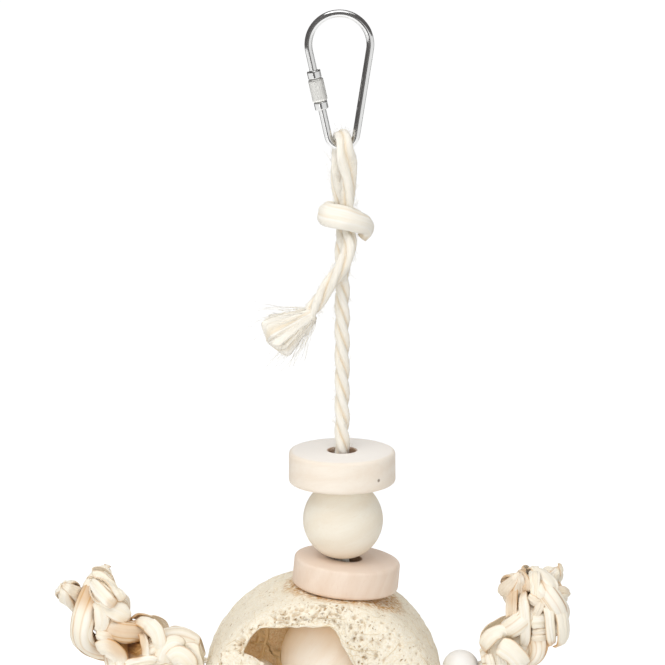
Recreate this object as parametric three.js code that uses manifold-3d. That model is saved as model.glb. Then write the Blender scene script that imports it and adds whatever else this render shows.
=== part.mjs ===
// Hanging bird chew toy: quick link, rope, wooden discs and balls, loofah slice and corn-husk plaits.
// Millimetres, +Z up, X to the viewer's right, Y away from the viewer.
// The origin is the inside top of the link's bow, where the toy hangs on a bar or hook.
import * as THREE from 'three';
import { mergeVertices } from 'three/addons/utils/BufferGeometryUtils.js';
import Module from 'manifold-3d';

const wasm = await Module();
wasm.setup();

// Clearances
const GAP = 0.3; // between pieces that rest on one another
const GRIP_GAP = 0.8; // between the rope and the wire it hangs on
const THREAD_GAP = 0.25; // between the link's wire and the sleeve nut
const ROPE_GAP = 2.1; // round the rope in the wooden bores
const LOOFAH_ROPE_GAP = 2.35; // round the rope in the loofah
const CORD_GAP = 0.5; // round the cords in their holes and beads
const BUNDLE_GAP = 0.4; // between the cord and the strands bound round it
const HOLLOW_SLACK = 0.5; // over the inner balls
const HOLLOW_SIDE = 4; // in front of the inner balls and behind them

// Quick link and its sleeve nut
const WIRE = 2.5;
const LINK_HEIGHT = 45;
const LINK_WIDTH = 22;
const LINK_FOOT_BEND = 4.5; // centre-line radius of the lower bend
const LINK_LEAN = THREE.MathUtils.degToRad(1.8);
const SLEEVE_LENGTH = 12.6;
const SLEEVE_WALL = 0.7;
const SLEEVE_GRIP_LENGTH = 7.2;
const SLEEVE_DROP = 6.3; // from the top of the straight leg to the sleeve
const GATE_UPPER_LAP = 2; // wire inside the sleeve above the open gate
const GATE_LOWER_LAP = 5.1; // and below it
const GRIP_RIDGES = 20;
const GRIP_PROUD = 0.2; // the grip stands out from the sleeve
const GRIP_RIDGE_DEPTH = 0.14;

// Rope
const ROPE = 4.8;
const ROPE_X = 1.2; // the stem hangs this far right of the origin
const LOOP_LENGTH = 22.8; // from the link's foot down to the hitch
const LOOP_TURN = THREE.MathUtils.degToRad(28); // the loop's plane is turned, so both legs show
const STEM_LENGTH = 207.5; // drop from the hitch to the stop knot's top
const KNOT_OFFSET = 0.9; // the hitch sits right of the stem
const KNOT_HEIGHT = 7.6;
const KNOT_WIDTH = 17.6;
const KNOT_SLOPE = THREE.MathUtils.degToRad(15);
const STOP_KNOT_HEIGHT = 9;
const STOP_KNOT_WIDTH = 13;
const FRAY_LENGTH = 19;
const FRAY_DIAMETER = 9;
const FRAY_NECK = 2; // whole rope between the stop knot and the frayed end

// Turned wood
const DISC_DIAMETER = 34.4;
const DISC_THICKNESS = 9.4; // lower and bottom discs
const UPPER_DISC_THICKNESS = 10.6;
const DISC_EDGE = 1.8;
const BORE_EDGE = 0.5;
const BALL_DIAMETER = 26;
const INNER_BALL_DIAMETER = 30;
const UPPER_BALL_SHIFT = 0.3; // the ball and the lower disc sit right of the rope in their wide bores
const LOWER_DISC_SHIFT = 3.9;

// Below the upper ball the rope and all it carries lean, the lower end to the left.
const LEAN = THREE.MathUtils.degToRad(4.8);

// Loofah slice, its axis along Y
const LOOFAH_WALL = 8.63; // over the hollow, where the discs press flats into it
const LOOFAH_PRESS = 1.3; // depth of those flats
const LOOFAH_DEPTH = 50;
const LOOFAH_SHOULDER = 7;
const LOOFAH_X = -5;

// Side arms: a cord, a bead and a husk plait on each side
const CORD = 2;
const ANCHOR_KNOT = 4.4;
const BEAD_DIAMETER = 12;
const RIGHT_CORD_ANGLE = THREE.MathUtils.degToRad(12.5); // above level
const LEFT_CORD_ANGLE = THREE.MathUtils.degToRad(18);
const STRAND = 6.6;
const STRAND_END = 4.4;
const STRAND_COUNT = 3;
const PLAIT_START = 4.2; // the plait's bound end stands this far off the bead or the loofah
const BAND_HEIGHT = 5;
const BAND_WALL = 1;

// Sizes that follow from these
const ropeOverWire = ROPE * 0.73; // pressed thin where it bends over the link
const ropeInKnot = ROPE * 0.71; // pulled thin inside the knots
const woodBore = ROPE + 2 * ROPE_GAP;
const ropeHoleWidth = ROPE + 2 * LOOFAH_ROPE_GAP;
const cordHoleWidth = CORD + 2 * CORD_GAP;
const bundleRadius = (CORD + STRAND_END) / 2 + BUNDLE_GAP; // strand centres at the bound end
const plaitSwing = STRAND * 1.15; // how far a strand swings to each side of the plait's middle
const plaitWeave = STRAND * 0.91; // and to its front and back
const plaitPitch = STRAND * 7.58; // one full weave
const plaitOpening = STRAND * 1.82; // the bound strands spread over this length

// Facets
const WIRE_SIDES = 10;
const ROPE_SIDES = 10;
const CORD_SIDES = 8;
const DISC_FACETS = 32;
const BALL_FACETS = 24;
const BEAD_FACETS = 18;
const LOOFAH_FACETS = 44;
const HOLLOW_FACETS = 28;

const Y_AXIS = new THREE.Vector3(0, 1, 0);
const Z_AXIS = new THREE.Vector3(0, 0, 1);
const LEAN_UP = new THREE.Vector3(Math.sin(LEAN), 0, Math.cos(LEAN));
const LEAN_RIGHT = new THREE.Vector3(Math.cos(LEAN), 0, -Math.sin(LEAN));

const steel = new THREE.MeshStandardMaterial({ color: 0xc9c9c7, roughness: 0.22, metalness: 1 });
const frostedSteel = new THREE.MeshStandardMaterial({ color: 0xb9b8b4, roughness: 0.45, metalness: 1 });
const rope = new THREE.MeshStandardMaterial({ color: 0xe9dcc3, roughness: 0.9, metalness: 0 });
const paleWood = new THREE.MeshStandardMaterial({ color: 0xf0dfcb, roughness: 0.65, metalness: 0 });
const ballWood = new THREE.MeshStandardMaterial({ color: 0xf3e6d0, roughness: 0.6, metalness: 0 });
const loofah = new THREE.MeshStandardMaterial({ color: 0xe6d3b0, roughness: 0.95, metalness: 0 });
const husk = new THREE.MeshStandardMaterial({ color: 0xe8d5b3, roughness: 0.8, metalness: 0 });
const white = new THREE.MeshStandardMaterial({ color: 0xf6f3ec, roughness: 0.55, metalness: 0 });

const toy = new THREE.Group();

function addMesh(parent, name, geometry, material) {
  const mesh = new THREE.Mesh(geometry, material);
  mesh.name = name;
  parent.add(mesh);
  return mesh;
}

// Booleans work on closed meshes whose vertices are shared.
function solidOf(geometry) {
  const bare = geometry.clone();
  bare.deleteAttribute('normal');
  bare.deleteAttribute('uv');
  const merged = mergeVertices(bare, 1e-4);
  const vertProperties = new Float32Array(merged.attributes.position.array);
  const triVerts = new Uint32Array(merged.index.array);
  return new wasm.Manifold(new wasm.Mesh({ numProp: 3, vertProperties, triVerts }));
}

function geometryOf(solid) {
  const mesh = solid.getMesh();
  const geometry = new THREE.BufferGeometry();
  geometry.setAttribute('position', new THREE.BufferAttribute(mesh.vertProperties, 3));
  geometry.setIndex(new THREE.BufferAttribute(mesh.triVerts, 1));
  return geometry;
}

// A closed tube through points, with its radius given by the distance from its start and its length.
function taperedTube(points, radiusAt, sides, steps) {
  const curve = new THREE.CatmullRomCurve3(points);
  const frames = curve.computeFrenetFrames(steps, false);
  const length = curve.getLength();
  const positions = [];
  const index = [];
  for (let step = 0; step <= steps; step += 1) {
    const along = step / steps;
    const centre = curve.getPointAt(along);
    const radius = radiusAt(along * length, length);
    for (let side = 0; side < sides; side += 1) {
      const angle = (2 * Math.PI * side) / sides;
      const corner = centre.clone();
      corner.addScaledVector(frames.normals[step], radius * Math.cos(angle));
      corner.addScaledVector(frames.binormals[step], radius * Math.sin(angle));
      positions.push(corner.x, corner.y, corner.z);
    }
  }
  for (let step = 0; step < steps; step += 1) {
    for (let side = 0; side < sides; side += 1) {
      const next = (side + 1) % sides;
      const a = step * sides + side;
      const b = step * sides + next;
      index.push(a, b, a + sides, b, b + sides, a + sides);
    }
  }
  const last = steps * sides;
  for (let side = 1; side < sides - 1; side += 1) {
    index.push(0, side + 1, side);
    index.push(last, last + side, last + side + 1);
  }
  const geometry = new THREE.BufferGeometry();
  geometry.setAttribute('position', new THREE.Float32BufferAttribute(positions, 3));
  geometry.setIndex(index);
  return geometry;
}

// A round tube of one thickness along a curve.
function tube(curve, diameter, sides, steps) {
  const section = new THREE.Shape();
  for (let side = 0; side < sides; side += 1) {
    const angle = (2 * Math.PI * side) / sides;
    const x = (diameter / 2) * Math.cos(angle);
    const y = (diameter / 2) * Math.sin(angle);
    if (side === 0) section.moveTo(x, y);
    else section.lineTo(x, y);
  }
  section.closePath();
  return new THREE.ExtrudeGeometry(section, { extrudePath: curve, steps, bevelEnabled: false });
}

function smoothBlend(from, to, share) {
  return from + (to - from) * THREE.MathUtils.smoothstep(share, 0, 1);
}

// Points on an arc in the XZ plane, angles counted from +X towards +Z.
function arcPoints(centreX, centreZ, radius, from, to, count) {
  const points = [];
  for (let i = 0; i <= count; i += 1) {
    const angle = from + ((to - from) * i) / count;
    const x = centreX + radius * Math.cos(angle);
    const z = centreZ + radius * Math.sin(angle);
    points.push(new THREE.Vector3(x, 0, z));
  }
  return points;
}

// A lathe about +Z from [radius, height] pairs.
function latheZ(profile, segments) {
  const points = profile.map(([radius, height]) => new THREE.Vector2(radius, height));
  const geometry = new THREE.LatheGeometry(points, segments);
  geometry.rotateX(Math.PI / 2);
  return geometry;
}

// Quick link: a wide bow, two straight legs and a narrow foot, open at the gate in the left leg.
const bowRadius = (LINK_WIDTH - WIRE) / 2;
const bowZ = WIRE / 2 - bowRadius;
const footZ = WIRE - LINK_HEIGHT + WIRE / 2 + LINK_FOOT_BEND;
const legSlope = Math.asin((bowRadius - LINK_FOOT_BEND) / (bowZ - footZ));
const legTop = new THREE.Vector3(-bowRadius * Math.cos(legSlope), 0, bowZ - bowRadius * Math.sin(legSlope));
const legDown = new THREE.Vector3(Math.sin(legSlope), 0, -Math.cos(legSlope));
const footWireZ = footZ - LINK_FOOT_BEND;

function pointOnLeg(distance) {
  return legTop.clone().addScaledVector(legDown, distance);
}

function linkWire() {
  const upperEnd = SLEEVE_DROP + GATE_UPPER_LAP;
  const lowerEnd = SLEEVE_DROP + SLEEVE_LENGTH - GATE_LOWER_LAP;
  const bow = arcPoints(0, bowZ, bowRadius, Math.PI + legSlope, -legSlope, 16);
  const foot = arcPoints(0, footZ, LINK_FOOT_BEND, -legSlope, -Math.PI + legSlope, 10);
  const legLength = foot[foot.length - 1].distanceTo(legTop);
  const wire = new THREE.CurvePath();
  const addLine = (from, to) => wire.add(new THREE.LineCurve3(from, to));
  const addBend = (points) => wire.add(new THREE.CatmullRomCurve3(points));
  addLine(pointOnLeg(upperEnd), bow[0]);
  addBend(bow);
  addLine(bow[bow.length - 1], foot[0]);
  addBend(foot);
  addLine(pointOnLeg(legLength), pointOnLeg(lowerEnd));
  return tube(wire, WIRE, WIRE_SIDES, 56);
}

function sleeveNut() {
  const bore = WIRE / 2 + THREAD_GAP;
  const body = bore + SLEEVE_WALL;
  const half = SLEEVE_LENGTH / 2;
  const chamfer = SLEEVE_WALL / 2;
  const profile = [
    [bore, -half],
    [body - chamfer, -half],
    [body, -half + chamfer],
    [body, half - chamfer],
    [body - chamfer, half],
    [bore, half],
    [bore, -half],
  ];
  const collars = latheZ(profile, 24);
  const outline = new THREE.Shape();
  const corners = 2 * GRIP_RIDGES;
  for (let i = 0; i < corners; i += 1) {
    const radius = body + GRIP_PROUD - (i % 2) * GRIP_RIDGE_DEPTH;
    const angle = (2 * Math.PI * i) / corners;
    const x = radius * Math.cos(angle);
    const y = radius * Math.sin(angle);
    if (i === 0) outline.moveTo(x, y);
    else outline.lineTo(x, y);
  }
  outline.closePath();
  const middle = new THREE.Path();
  middle.absarc(0, 0, (bore + body) / 2, 0, 2 * Math.PI);
  outline.holes.push(middle);
  const options = { depth: SLEEVE_GRIP_LENGTH, bevelEnabled: false, curveSegments: 12 };
  const grip = new THREE.ExtrudeGeometry(outline, options);
  grip.translate(0, 0, -SLEEVE_GRIP_LENGTH / 2);
  return geometryOf(solidOf(collars).add(solidOf(grip)));
}

const link = new THREE.Group();
link.rotation.y = -LINK_LEAN;
toy.add(link);
addMesh(link, 'quick_link', linkWire(), steel);
const sleeve = addMesh(link, 'sleeve_nut', sleeveNut(), frostedSteel);
sleeve.position.copy(pointOnLeg(SLEEVE_DROP + SLEEVE_LENGTH / 2));
sleeve.rotation.y = Math.PI - legSlope;

// Rope: it goes up one leg of the loop, over the link's foot, down the other leg and into the hitch.
const footPoint = new THREE.Vector3(0, 0, footWireZ).applyAxisAngle(Y_AXIS, -LINK_LEAN);
const knotX = ROPE_X + KNOT_OFFSET;
const knotZ = footPoint.z - LOOP_LENGTH;
const loopRadius = WIRE / 2 + GRIP_GAP + ropeOverWire / 2;
const loopSpread = loopRadius / Math.cos(LOOP_TURN);
const legInKnot = ropeInKnot / 2 + GAP / 2;
const frontLeg = new THREE.Vector3(Math.sin(LOOP_TURN), -Math.cos(LOOP_TURN), 0);

function legPoint(side, spread, x, z) {
  const point = new THREE.Vector3(x, 0, z);
  return point.addScaledVector(frontLeg, side * spread);
}

function ropeLoop() {
  const start = knotZ + GAP / 2;
  const points = [];
  points.push(legPoint(-1, legInKnot, knotX, start));
  points.push(legPoint(-1, legInKnot, knotX, knotZ + KNOT_HEIGHT / 2));
  points.push(legPoint(-1, loopSpread * 0.9, footPoint.x, footPoint.z - 2 * ROPE));
  const turns = 8;
  for (let i = 0; i <= turns; i += 1) {
    const angle = (Math.PI * i) / turns;
    const z = footPoint.z + loopRadius * Math.sin(angle);
    points.push(legPoint(-1, loopSpread * Math.cos(angle), footPoint.x, z));
  }
  points.push(legPoint(1, loopSpread * 0.9, footPoint.x, footPoint.z - 2 * ROPE));
  points.push(legPoint(1, legInKnot, knotX, knotZ + KNOT_HEIGHT / 2));
  points.push(legPoint(1, legInKnot, knotX, start));
  const radiusAt = (distance, length) => {
    const fromKnot = Math.min(distance, length - distance);
    const fromTop = Math.abs(distance - length / 2);
    const leg = smoothBlend(ropeInKnot, ROPE, (fromKnot - KNOT_HEIGHT / 2) / KNOT_HEIGHT);
    return smoothBlend(ropeOverWire, leg, (fromTop - 2 * loopRadius - GRIP_GAP) / ROPE) / 2;
  };
  return taperedTube(points, radiusAt, ROPE_SIDES, 34);
}

// A knot is drawn as the turn of rope that wraps the legs: a ring with a rounded section.
function knotRing(width, height, hole) {
  const wall = (width - hole) / 4;
  const middle = hole / 2 + wall;
  const profile = [];
  const corners = 10;
  for (let i = 0; i <= corners; i += 1) {
    const angle = (2 * Math.PI * i) / corners;
    profile.push([middle + wall * Math.cos(angle), (height / 2) * Math.sin(angle)]);
  }
  return latheZ(profile, 24);
}

function ropeStem() {
  const knotFoot = knotZ - KNOT_HEIGHT;
  const ballZ = upperBallCentre.z;
  const discFace = discUp + DISC_THICKNESS / 2;
  const stopFoot = -stopUp - STOP_KNOT_HEIGHT;
  const endPoint = pointOnLean(stopFoot - FRAY_NECK, 0);
  const points = [
    legPoint(-1, legInKnot, knotX, knotZ - GAP / 2),
    legPoint(-1, legInKnot, knotX, knotZ - KNOT_HEIGHT / 2),
    new THREE.Vector3(ROPE_X, 0, knotFoot - ROPE / 2),
    new THREE.Vector3(ROPE_X, 0, (knotFoot + ballZ) / 2),
    new THREE.Vector3(ROPE_X, 0, ballZ + BALL_DIAMETER / 2),
    new THREE.Vector3(ROPE_X, 0, ballZ),
    pointOnLean(discFace, LOWER_DISC_SHIFT * 0.6),
    pointOnLean(loofahSeat, LOWER_DISC_SHIFT * 0.5),
    pointOnLean(hollowHalf, LOWER_DISC_SHIFT * 0.3),
    pointOnLean(innerRim, 0),
    pointOnLean(-innerRim, 0),
    pointOnLean(-stopUp, 0),
    endPoint,
    new THREE.Vector3(endPoint.x, 0, endPoint.z - FRAY_LENGTH),
  ];
  const stopAboveEnd = FRAY_LENGTH + FRAY_NECK + STOP_KNOT_HEIGHT / 2;
  const radiusAt = (distance, length) => {
    const aboveEnd = length - distance;
    const fromStop = Math.abs(aboveEnd - stopAboveEnd);
    const stem = smoothBlend(ropeInKnot, ROPE, (distance - KNOT_HEIGHT / 2) / KNOT_HEIGHT);
    const whole = smoothBlend(ropeInKnot, stem, (2 * fromStop) / STOP_KNOT_HEIGHT - 1);
    return smoothBlend(FRAY_DIAMETER, whole, aboveEnd / FRAY_LENGTH) / 2;
  };
  return taperedTube(points, radiusAt, ROPE_SIDES, 44);
}

// The tail leaves the hitch at its lower right, crosses in front of the stem and frays at its end.
function ropeTail() {
  const clear = ROPE + 2 * GAP;
  const points = [
    legPoint(1, legInKnot, knotX, knotZ - GAP / 2),
    legPoint(1, legInKnot, knotX, knotZ - KNOT_HEIGHT / 2),
    new THREE.Vector3(ROPE_X + 2.2, -clear, knotZ - 9),
    new THREE.Vector3(ROPE_X - 0.6, -clear - 0.6, knotZ - 15),
    new THREE.Vector3(ROPE_X - 5.5, -clear, knotZ - 22.5),
    new THREE.Vector3(ROPE_X - 10, -clear + 0.8, knotZ - 29.5),
    new THREE.Vector3(ROPE_X - 16, -clear + 1.5, knotZ - 35.5),
    new THREE.Vector3(ROPE_X - 22, -clear + 2, knotZ - 39.5),
  ];
  const radiusAt = (distance, length) => {
    const body = smoothBlend(ropeInKnot, ROPE, (distance - KNOT_HEIGHT / 2) / KNOT_HEIGHT);
    return smoothBlend(FRAY_DIAMETER, body, (length - distance) / FRAY_LENGTH) / 2;
  };
  return taperedTube(points, radiusAt, ROPE_SIDES, 22);
}

// Wooden pieces, each turned about its own bore.
function disc(thickness) {
  const bore = woodBore / 2;
  const outer = DISC_DIAMETER / 2;
  const half = thickness / 2;
  const soft = DISC_EDGE * 0.3;
  const profile = [
    [bore, -half + BORE_EDGE],
    [bore + BORE_EDGE, -half],
    [outer - DISC_EDGE, -half],
    [outer - soft, -half + soft],
    [outer, -half + DISC_EDGE],
    [outer, half - DISC_EDGE],
    [outer - soft, half - soft],
    [outer - DISC_EDGE, half],
    [bore + BORE_EDGE, half],
    [bore, half - BORE_EDGE],
    [bore, -half + BORE_EDGE],
  ];
  return latheZ(profile, DISC_FACETS);
}

// Half the height of a ball at the rim of its bore.
function rimHeight(diameter, bore) {
  return Math.sqrt((diameter / 2) ** 2 - (bore / 2) ** 2);
}

function boredBall(diameter, bore, segments) {
  const rim = Math.asin(bore / diameter);
  const rows = segments / 2;
  const profile = [];
  for (let i = 0; i <= rows; i += 1) {
    const angle = rim + ((Math.PI - 2 * rim) * i) / rows;
    profile.push([(diameter / 2) * Math.sin(angle), (-diameter / 2) * Math.cos(angle)]);
  }
  profile.push(profile[0].slice());
  return latheZ(profile, segments);
}

// The pieces stand on the stop knot, one on another. Below the upper ball they line up on the lean,
// measured up and across from the loofah's centre.
const innerRim = rimHeight(INNER_BALL_DIAMETER, woodBore);
const upperRim = rimHeight(BALL_DIAMETER, woodBore);
const innerUp = innerRim + GAP / 2;
const hollowHalf = innerUp + innerRim + GAP + HOLLOW_SLACK;
const hollowDepth = INNER_BALL_DIAMETER + 2 * HOLLOW_SIDE;
const loofahSeat = hollowHalf + LOOFAH_WALL;
const loofahRadius = loofahSeat + LOOFAH_PRESS;
const discUp = loofahSeat + GAP + DISC_THICKNESS / 2;
const stopUp = discUp + DISC_THICKNESS / 2 + GAP;
const loofahZ = knotZ - STEM_LENGTH + stopUp * Math.cos(LEAN);
const loofahCentre = new THREE.Vector3(LOOFAH_X, 0, loofahZ);

function pointOnLean(up, right) {
  const point = loofahCentre.clone().addScaledVector(LEAN_UP, up);
  return point.addScaledVector(LEAN_RIGHT, right);
}

function placeOnLean(mesh, up, right) {
  mesh.position.copy(pointOnLean(up, right));
  mesh.rotation.y = LEAN;
}

// The upper ball stands upright on the leaning lower disc: the left of its rim comes closest.
function upperBallSeat() {
  const rimDrop = upperRim * Math.cos(LEAN) + (woodBore / 2) * Math.sin(LEAN);
  const up = discUp + DISC_THICKNESS / 2 + GAP + rimDrop;
  const x = ROPE_X + UPPER_BALL_SHIFT;
  const right = (x - pointOnLean(up, 0).x) / Math.cos(LEAN);
  return pointOnLean(up, right);
}

const upperBallCentre = upperBallSeat();
const upperDiscZ = upperBallCentre.z + upperRim + GAP + UPPER_DISC_THICKNESS / 2;

addMesh(toy, 'rope_loop', ropeLoop(), rope);
const knotHole = 4 * legInKnot + 3 * GAP;
const knot = addMesh(toy, 'rope_knot', knotRing(KNOT_WIDTH, KNOT_HEIGHT, knotHole), rope);
knot.position.set(knotX, 0, knotZ);
knot.rotation.y = KNOT_SLOPE;
addMesh(toy, 'rope_stem', ropeStem(), rope);
addMesh(toy, 'rope_tail', ropeTail(), rope);
const stopHole = ropeInKnot + 2 * GAP;
const stopKnot = addMesh(toy, 'stop_knot', knotRing(STOP_KNOT_WIDTH, STOP_KNOT_HEIGHT, stopHole), rope);
placeOnLean(stopKnot, -stopUp - STOP_KNOT_HEIGHT / 2, 0);

const upperDisc = addMesh(toy, 'upper_disc', disc(UPPER_DISC_THICKNESS), paleWood);
upperDisc.position.set(ROPE_X, 0, upperDiscZ);
const upperBall = addMesh(toy, 'upper_ball', boredBall(BALL_DIAMETER, woodBore, BALL_FACETS), ballWood);
upperBall.position.copy(upperBallCentre);
placeOnLean(addMesh(toy, 'lower_disc', disc(DISC_THICKNESS), paleWood), discUp, LOWER_DISC_SHIFT);
const innerBall = boredBall(INNER_BALL_DIAMETER, woodBore, BALL_FACETS);
placeOnLean(addMesh(toy, 'inner_ball_upper', innerBall, ballWood), innerUp, 0);
placeOnLean(addMesh(toy, 'inner_ball_lower', innerBall.clone(), ballWood), -innerUp, 0);
placeOnLean(addMesh(toy, 'bottom_disc', disc(DISC_THICKNESS), paleWood), -discUp, 0);

// Loofah slice: a barrel on its side, hollow, with one irregular opening in front and a closed back.
// The hollow is a squarish oval, nearly flat where the balls touch, and as wide as the left bead and
// its knot need beside the inner balls.
const HOLLOW_POWER = 4;

function hollowHalfWidth() {
  const rise = LEFT_CORD_ANGLE - LEAN;
  const knotClear = (INNER_BALL_DIAMETER + ANCHOR_KNOT) / 2 + GAP;
  const across = Math.sqrt(knotClear ** 2 - (innerUp * Math.cos(rise)) ** 2);
  const knotReach = innerUp * Math.sin(rise) + across;
  const reach = knotReach + ANCHOR_KNOT / 2 + GAP + BEAD_DIAMETER + 3 * GAP;
  const rest = reach ** -HOLLOW_POWER - (Math.sin(rise) / hollowHalf) ** HOLLOW_POWER;
  return Math.cos(rise) / rest ** (1 / HOLLOW_POWER);
}

const hollowWide = hollowHalfWidth();

function loofahBarrel() {
  const half = LOOFAH_DEPTH / 2;
  const profile = [[0, -half]];
  const rows = 5;
  for (let i = 0; i <= rows; i += 1) {
    const angle = (Math.PI / 2) * (1 - i / rows);
    const r = loofahRadius - LOOFAH_SHOULDER * (1 - Math.cos(angle));
    profile.push([r, -half + LOOFAH_SHOULDER * 1.4 * (1 - Math.sin(angle))]);
  }
  const back = profile.map(([r, y]) => [r, -y]).reverse();
  const barrel = latheZ(profile.concat(back), LOOFAH_FACETS);
  barrel.rotateX(-Math.PI / 2);
  return solidOf(barrel);
}

function loofahHollow() {
  const rows = 10;
  const power = 2 / HOLLOW_POWER;
  const profile = [];
  for (let i = 0; i <= rows; i += 1) {
    const angle = (Math.PI * i) / rows - Math.PI / 2;
    const across = Math.max(Math.cos(angle), 0) ** power;
    const up = Math.sign(Math.sin(angle)) * Math.abs(Math.sin(angle)) ** power;
    profile.push([hollowWide * across, hollowHalf * up]);
  }
  const hollow = latheZ(profile, HOLLOW_FACETS);
  hollow.scale(1, hollowDepth / (2 * hollowWide), 1);
  hollow.rotateY(LEAN);
  return solidOf(hollow);
}

// The opening's outline from the loofah's centre, as shares of the hollow's half width and half height:
// narrow on top, wide below.
function openingOutline() {
  const outline = new THREE.Shape();
  const lineTo = (x, z) => outline.lineTo(x * hollowWide, z * hollowHalf);
  const bendTo = (bendX, bendZ, x, z) => {
    outline.quadraticCurveTo(bendX * hollowWide, bendZ * hollowHalf, x * hollowWide, z * hollowHalf);
  };
  outline.moveTo(-0.72 * hollowWide, 1.03 * hollowHalf);
  lineTo(0.035, 1.065);
  bendTo(0.14, 1.05, 0.17, 0.95);
  lineTo(0.65, 0);
  bendTo(0.89, -0.54, 0.48, -0.88);
  bendTo(-0.14, -1.15, -0.68, -0.85);
  bendTo(-1.1, -0.34, -0.92, 0.61);
  bendTo(-0.89, 0.88, -0.72, 1.03);
  return outline;
}

function openingCut() {
  const reach = INNER_BALL_DIAMETER / 2; // as far back as the inner balls
  const options = { depth: LOOFAH_DEPTH + reach, bevelEnabled: false, curveSegments: 5 };
  const cut = new THREE.ExtrudeGeometry(openingOutline(), options);
  cut.translate(0, 0, -reach);
  cut.rotateX(Math.PI / 2);
  return solidOf(cut);
}

// Half-space above a seat, as a wide block.
function seatBlock(direction) {
  const size = 4 * loofahRadius;
  const block = new THREE.BoxGeometry(size, size, size);
  block.translate(0, 0, direction * (loofahSeat + size / 2));
  block.rotateY(LEAN);
  return solidOf(block);
}

function ropeHole() {
  const hole = new THREE.CylinderGeometry(ropeHoleWidth / 2, ropeHoleWidth / 2, 4 * loofahRadius, 18);
  hole.rotateX(Math.PI / 2);
  hole.rotateY(LEAN);
  return solidOf(hole);
}

function cordHole(outward) {
  const hole = new THREE.CylinderGeometry(cordHoleWidth / 2, cordHoleWidth / 2, loofahRadius, 10);
  hole.translate(0, loofahRadius, 0);
  hole.applyQuaternion(new THREE.Quaternion().setFromUnitVectors(Y_AXIS, outward));
  return solidOf(hole);
}

function outwardOf(side) {
  const angle = side > 0 ? RIGHT_CORD_ANGLE : LEFT_CORD_ANGLE;
  return new THREE.Vector3(side * Math.cos(angle), 0, Math.sin(angle));
}

function loofahSlice() {
  const cuts = [
    loofahHollow(),
    openingCut(),
    seatBlock(1),
    seatBlock(-1),
    ropeHole(),
    cordHole(outwardOf(1)),
    cordHole(outwardOf(-1)),
  ];
  let slice = loofahBarrel();
  for (const cut of cuts) {
    slice = slice.subtract(cut);
  }
  return geometryOf(slice);
}

const slice = addMesh(toy, 'loofah_slice', loofahSlice(), loofah);
slice.position.copy(loofahCentre);

// Side arms. The right bead hangs outside the loofah, and the left one is the stop inside its wall.
const surface = loofahRadius + GAP;

function pointOut(outward, distance) {
  return loofahCentre.clone().addScaledVector(outward, distance);
}

// The middle line of each plait, in strand thicknesses across and up from its bound end.
const plaitLines = {
  right: [[1.67, 0.98], [2.12, 2.27], [2.17, 4.47]],
  left: [[-2.58, 0.03], [-3.94, 0.91], [-4.85, 2.39], [-5.24, 3.94]],
};

function plaitCurve(sideName, outward, start) {
  const points = [start, start.clone().addScaledVector(outward, BAND_HEIGHT + BAND_WALL)];
  for (const [x, z] of plaitLines[sideName]) {
    points.push(new THREE.Vector3(start.x + x * STRAND, 0, start.z + z * STRAND));
  }
  return new THREE.CatmullRomCurve3(points);
}

// One strand of a plait: it swings from side to side and passes over and under the others.
function huskStrand(line, number) {
  const length = line.getLength();
  const bound = BAND_HEIGHT + STRAND_END / 2;
  const steps = 26;
  const points = [];
  for (let i = 0; i <= steps; i += 1) {
    const along = i / steps;
    const centre = line.getPointAt(along);
    const sideways = new THREE.Vector3().crossVectors(line.getTangentAt(along), Y_AXIS);
    const woven = Math.max(along * length - bound, 0);
    const angle = Math.PI / 6 + 2 * Math.PI * (number / STRAND_COUNT + woven / plaitPitch);
    const open = woven / plaitOpening;
    centre.addScaledVector(sideways, smoothBlend(bundleRadius, plaitSwing, open) * Math.sin(angle));
    centre.addScaledVector(Y_AXIS, smoothBlend(bundleRadius, plaitWeave, open) * Math.sin(2 * angle));
    points.push(centre);
  }
  const radiusAt = (distance, strandLength) => {
    const along = (distance / strandLength) * length;
    const body = smoothBlend(STRAND_END, STRAND, (along - bound) / plaitOpening);
    return smoothBlend(STRAND_END, body, (length - along) / STRAND) / 2;
  };
  return taperedTube(points, radiusAt, CORD_SIDES, steps);
}

function bindingBand() {
  const inner = bundleRadius + STRAND_END / 2 + 2 * GAP;
  const outer = inner + BAND_WALL;
  const half = BAND_HEIGHT / 2;
  return latheZ([[inner, -half], [outer, -half], [outer, half], [inner, half], [inner, -half]], 20);
}

// Distance from the loofah's centre to the hollow's wall along a direction in XZ.
function hollowReach(outward) {
  const x = Math.abs(outward.dot(LEAN_RIGHT)) / hollowWide;
  const z = Math.abs(outward.dot(LEAN_UP)) / hollowHalf;
  return 1 / (x ** HOLLOW_POWER + z ** HOLLOW_POWER) ** (1 / HOLLOW_POWER);
}

function addBead(sideName, outward, distance) {
  const bead = addMesh(toy, `${sideName}_bead`, boredBall(BEAD_DIAMETER, cordHoleWidth, BEAD_FACETS), white);
  bead.position.copy(pointOut(outward, distance));
  bead.quaternion.setFromUnitVectors(Z_AXIS, outward);
}

// The cord's inner stretch: a knot inside the hollow and the stretch through the loofah's wall.
function anchor(outward, knotDistance) {
  const knotCentre = pointOut(outward, knotDistance);
  const run = new THREE.LineCurve3(knotCentre, pointOut(outward, surface - 2 * GAP));
  const stub = tube(run, CORD, CORD_SIDES, 2);
  const ball = new THREE.SphereGeometry(ANCHOR_KNOT / 2, 12, 8);
  ball.translate(knotCentre.x, knotCentre.y, knotCentre.z);
  return geometryOf(solidOf(stub).add(solidOf(ball)));
}

// The cord's outer stretch: from the loofah, through any bead, into the plait's bound end.
function armCord(outward, startDistance) {
  const end = pointOut(outward, startDistance + BAND_HEIGHT);
  const run = new THREE.LineCurve3(pointOut(outward, surface), end);
  return tube(run, CORD, CORD_SIDES, 4);
}

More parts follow.
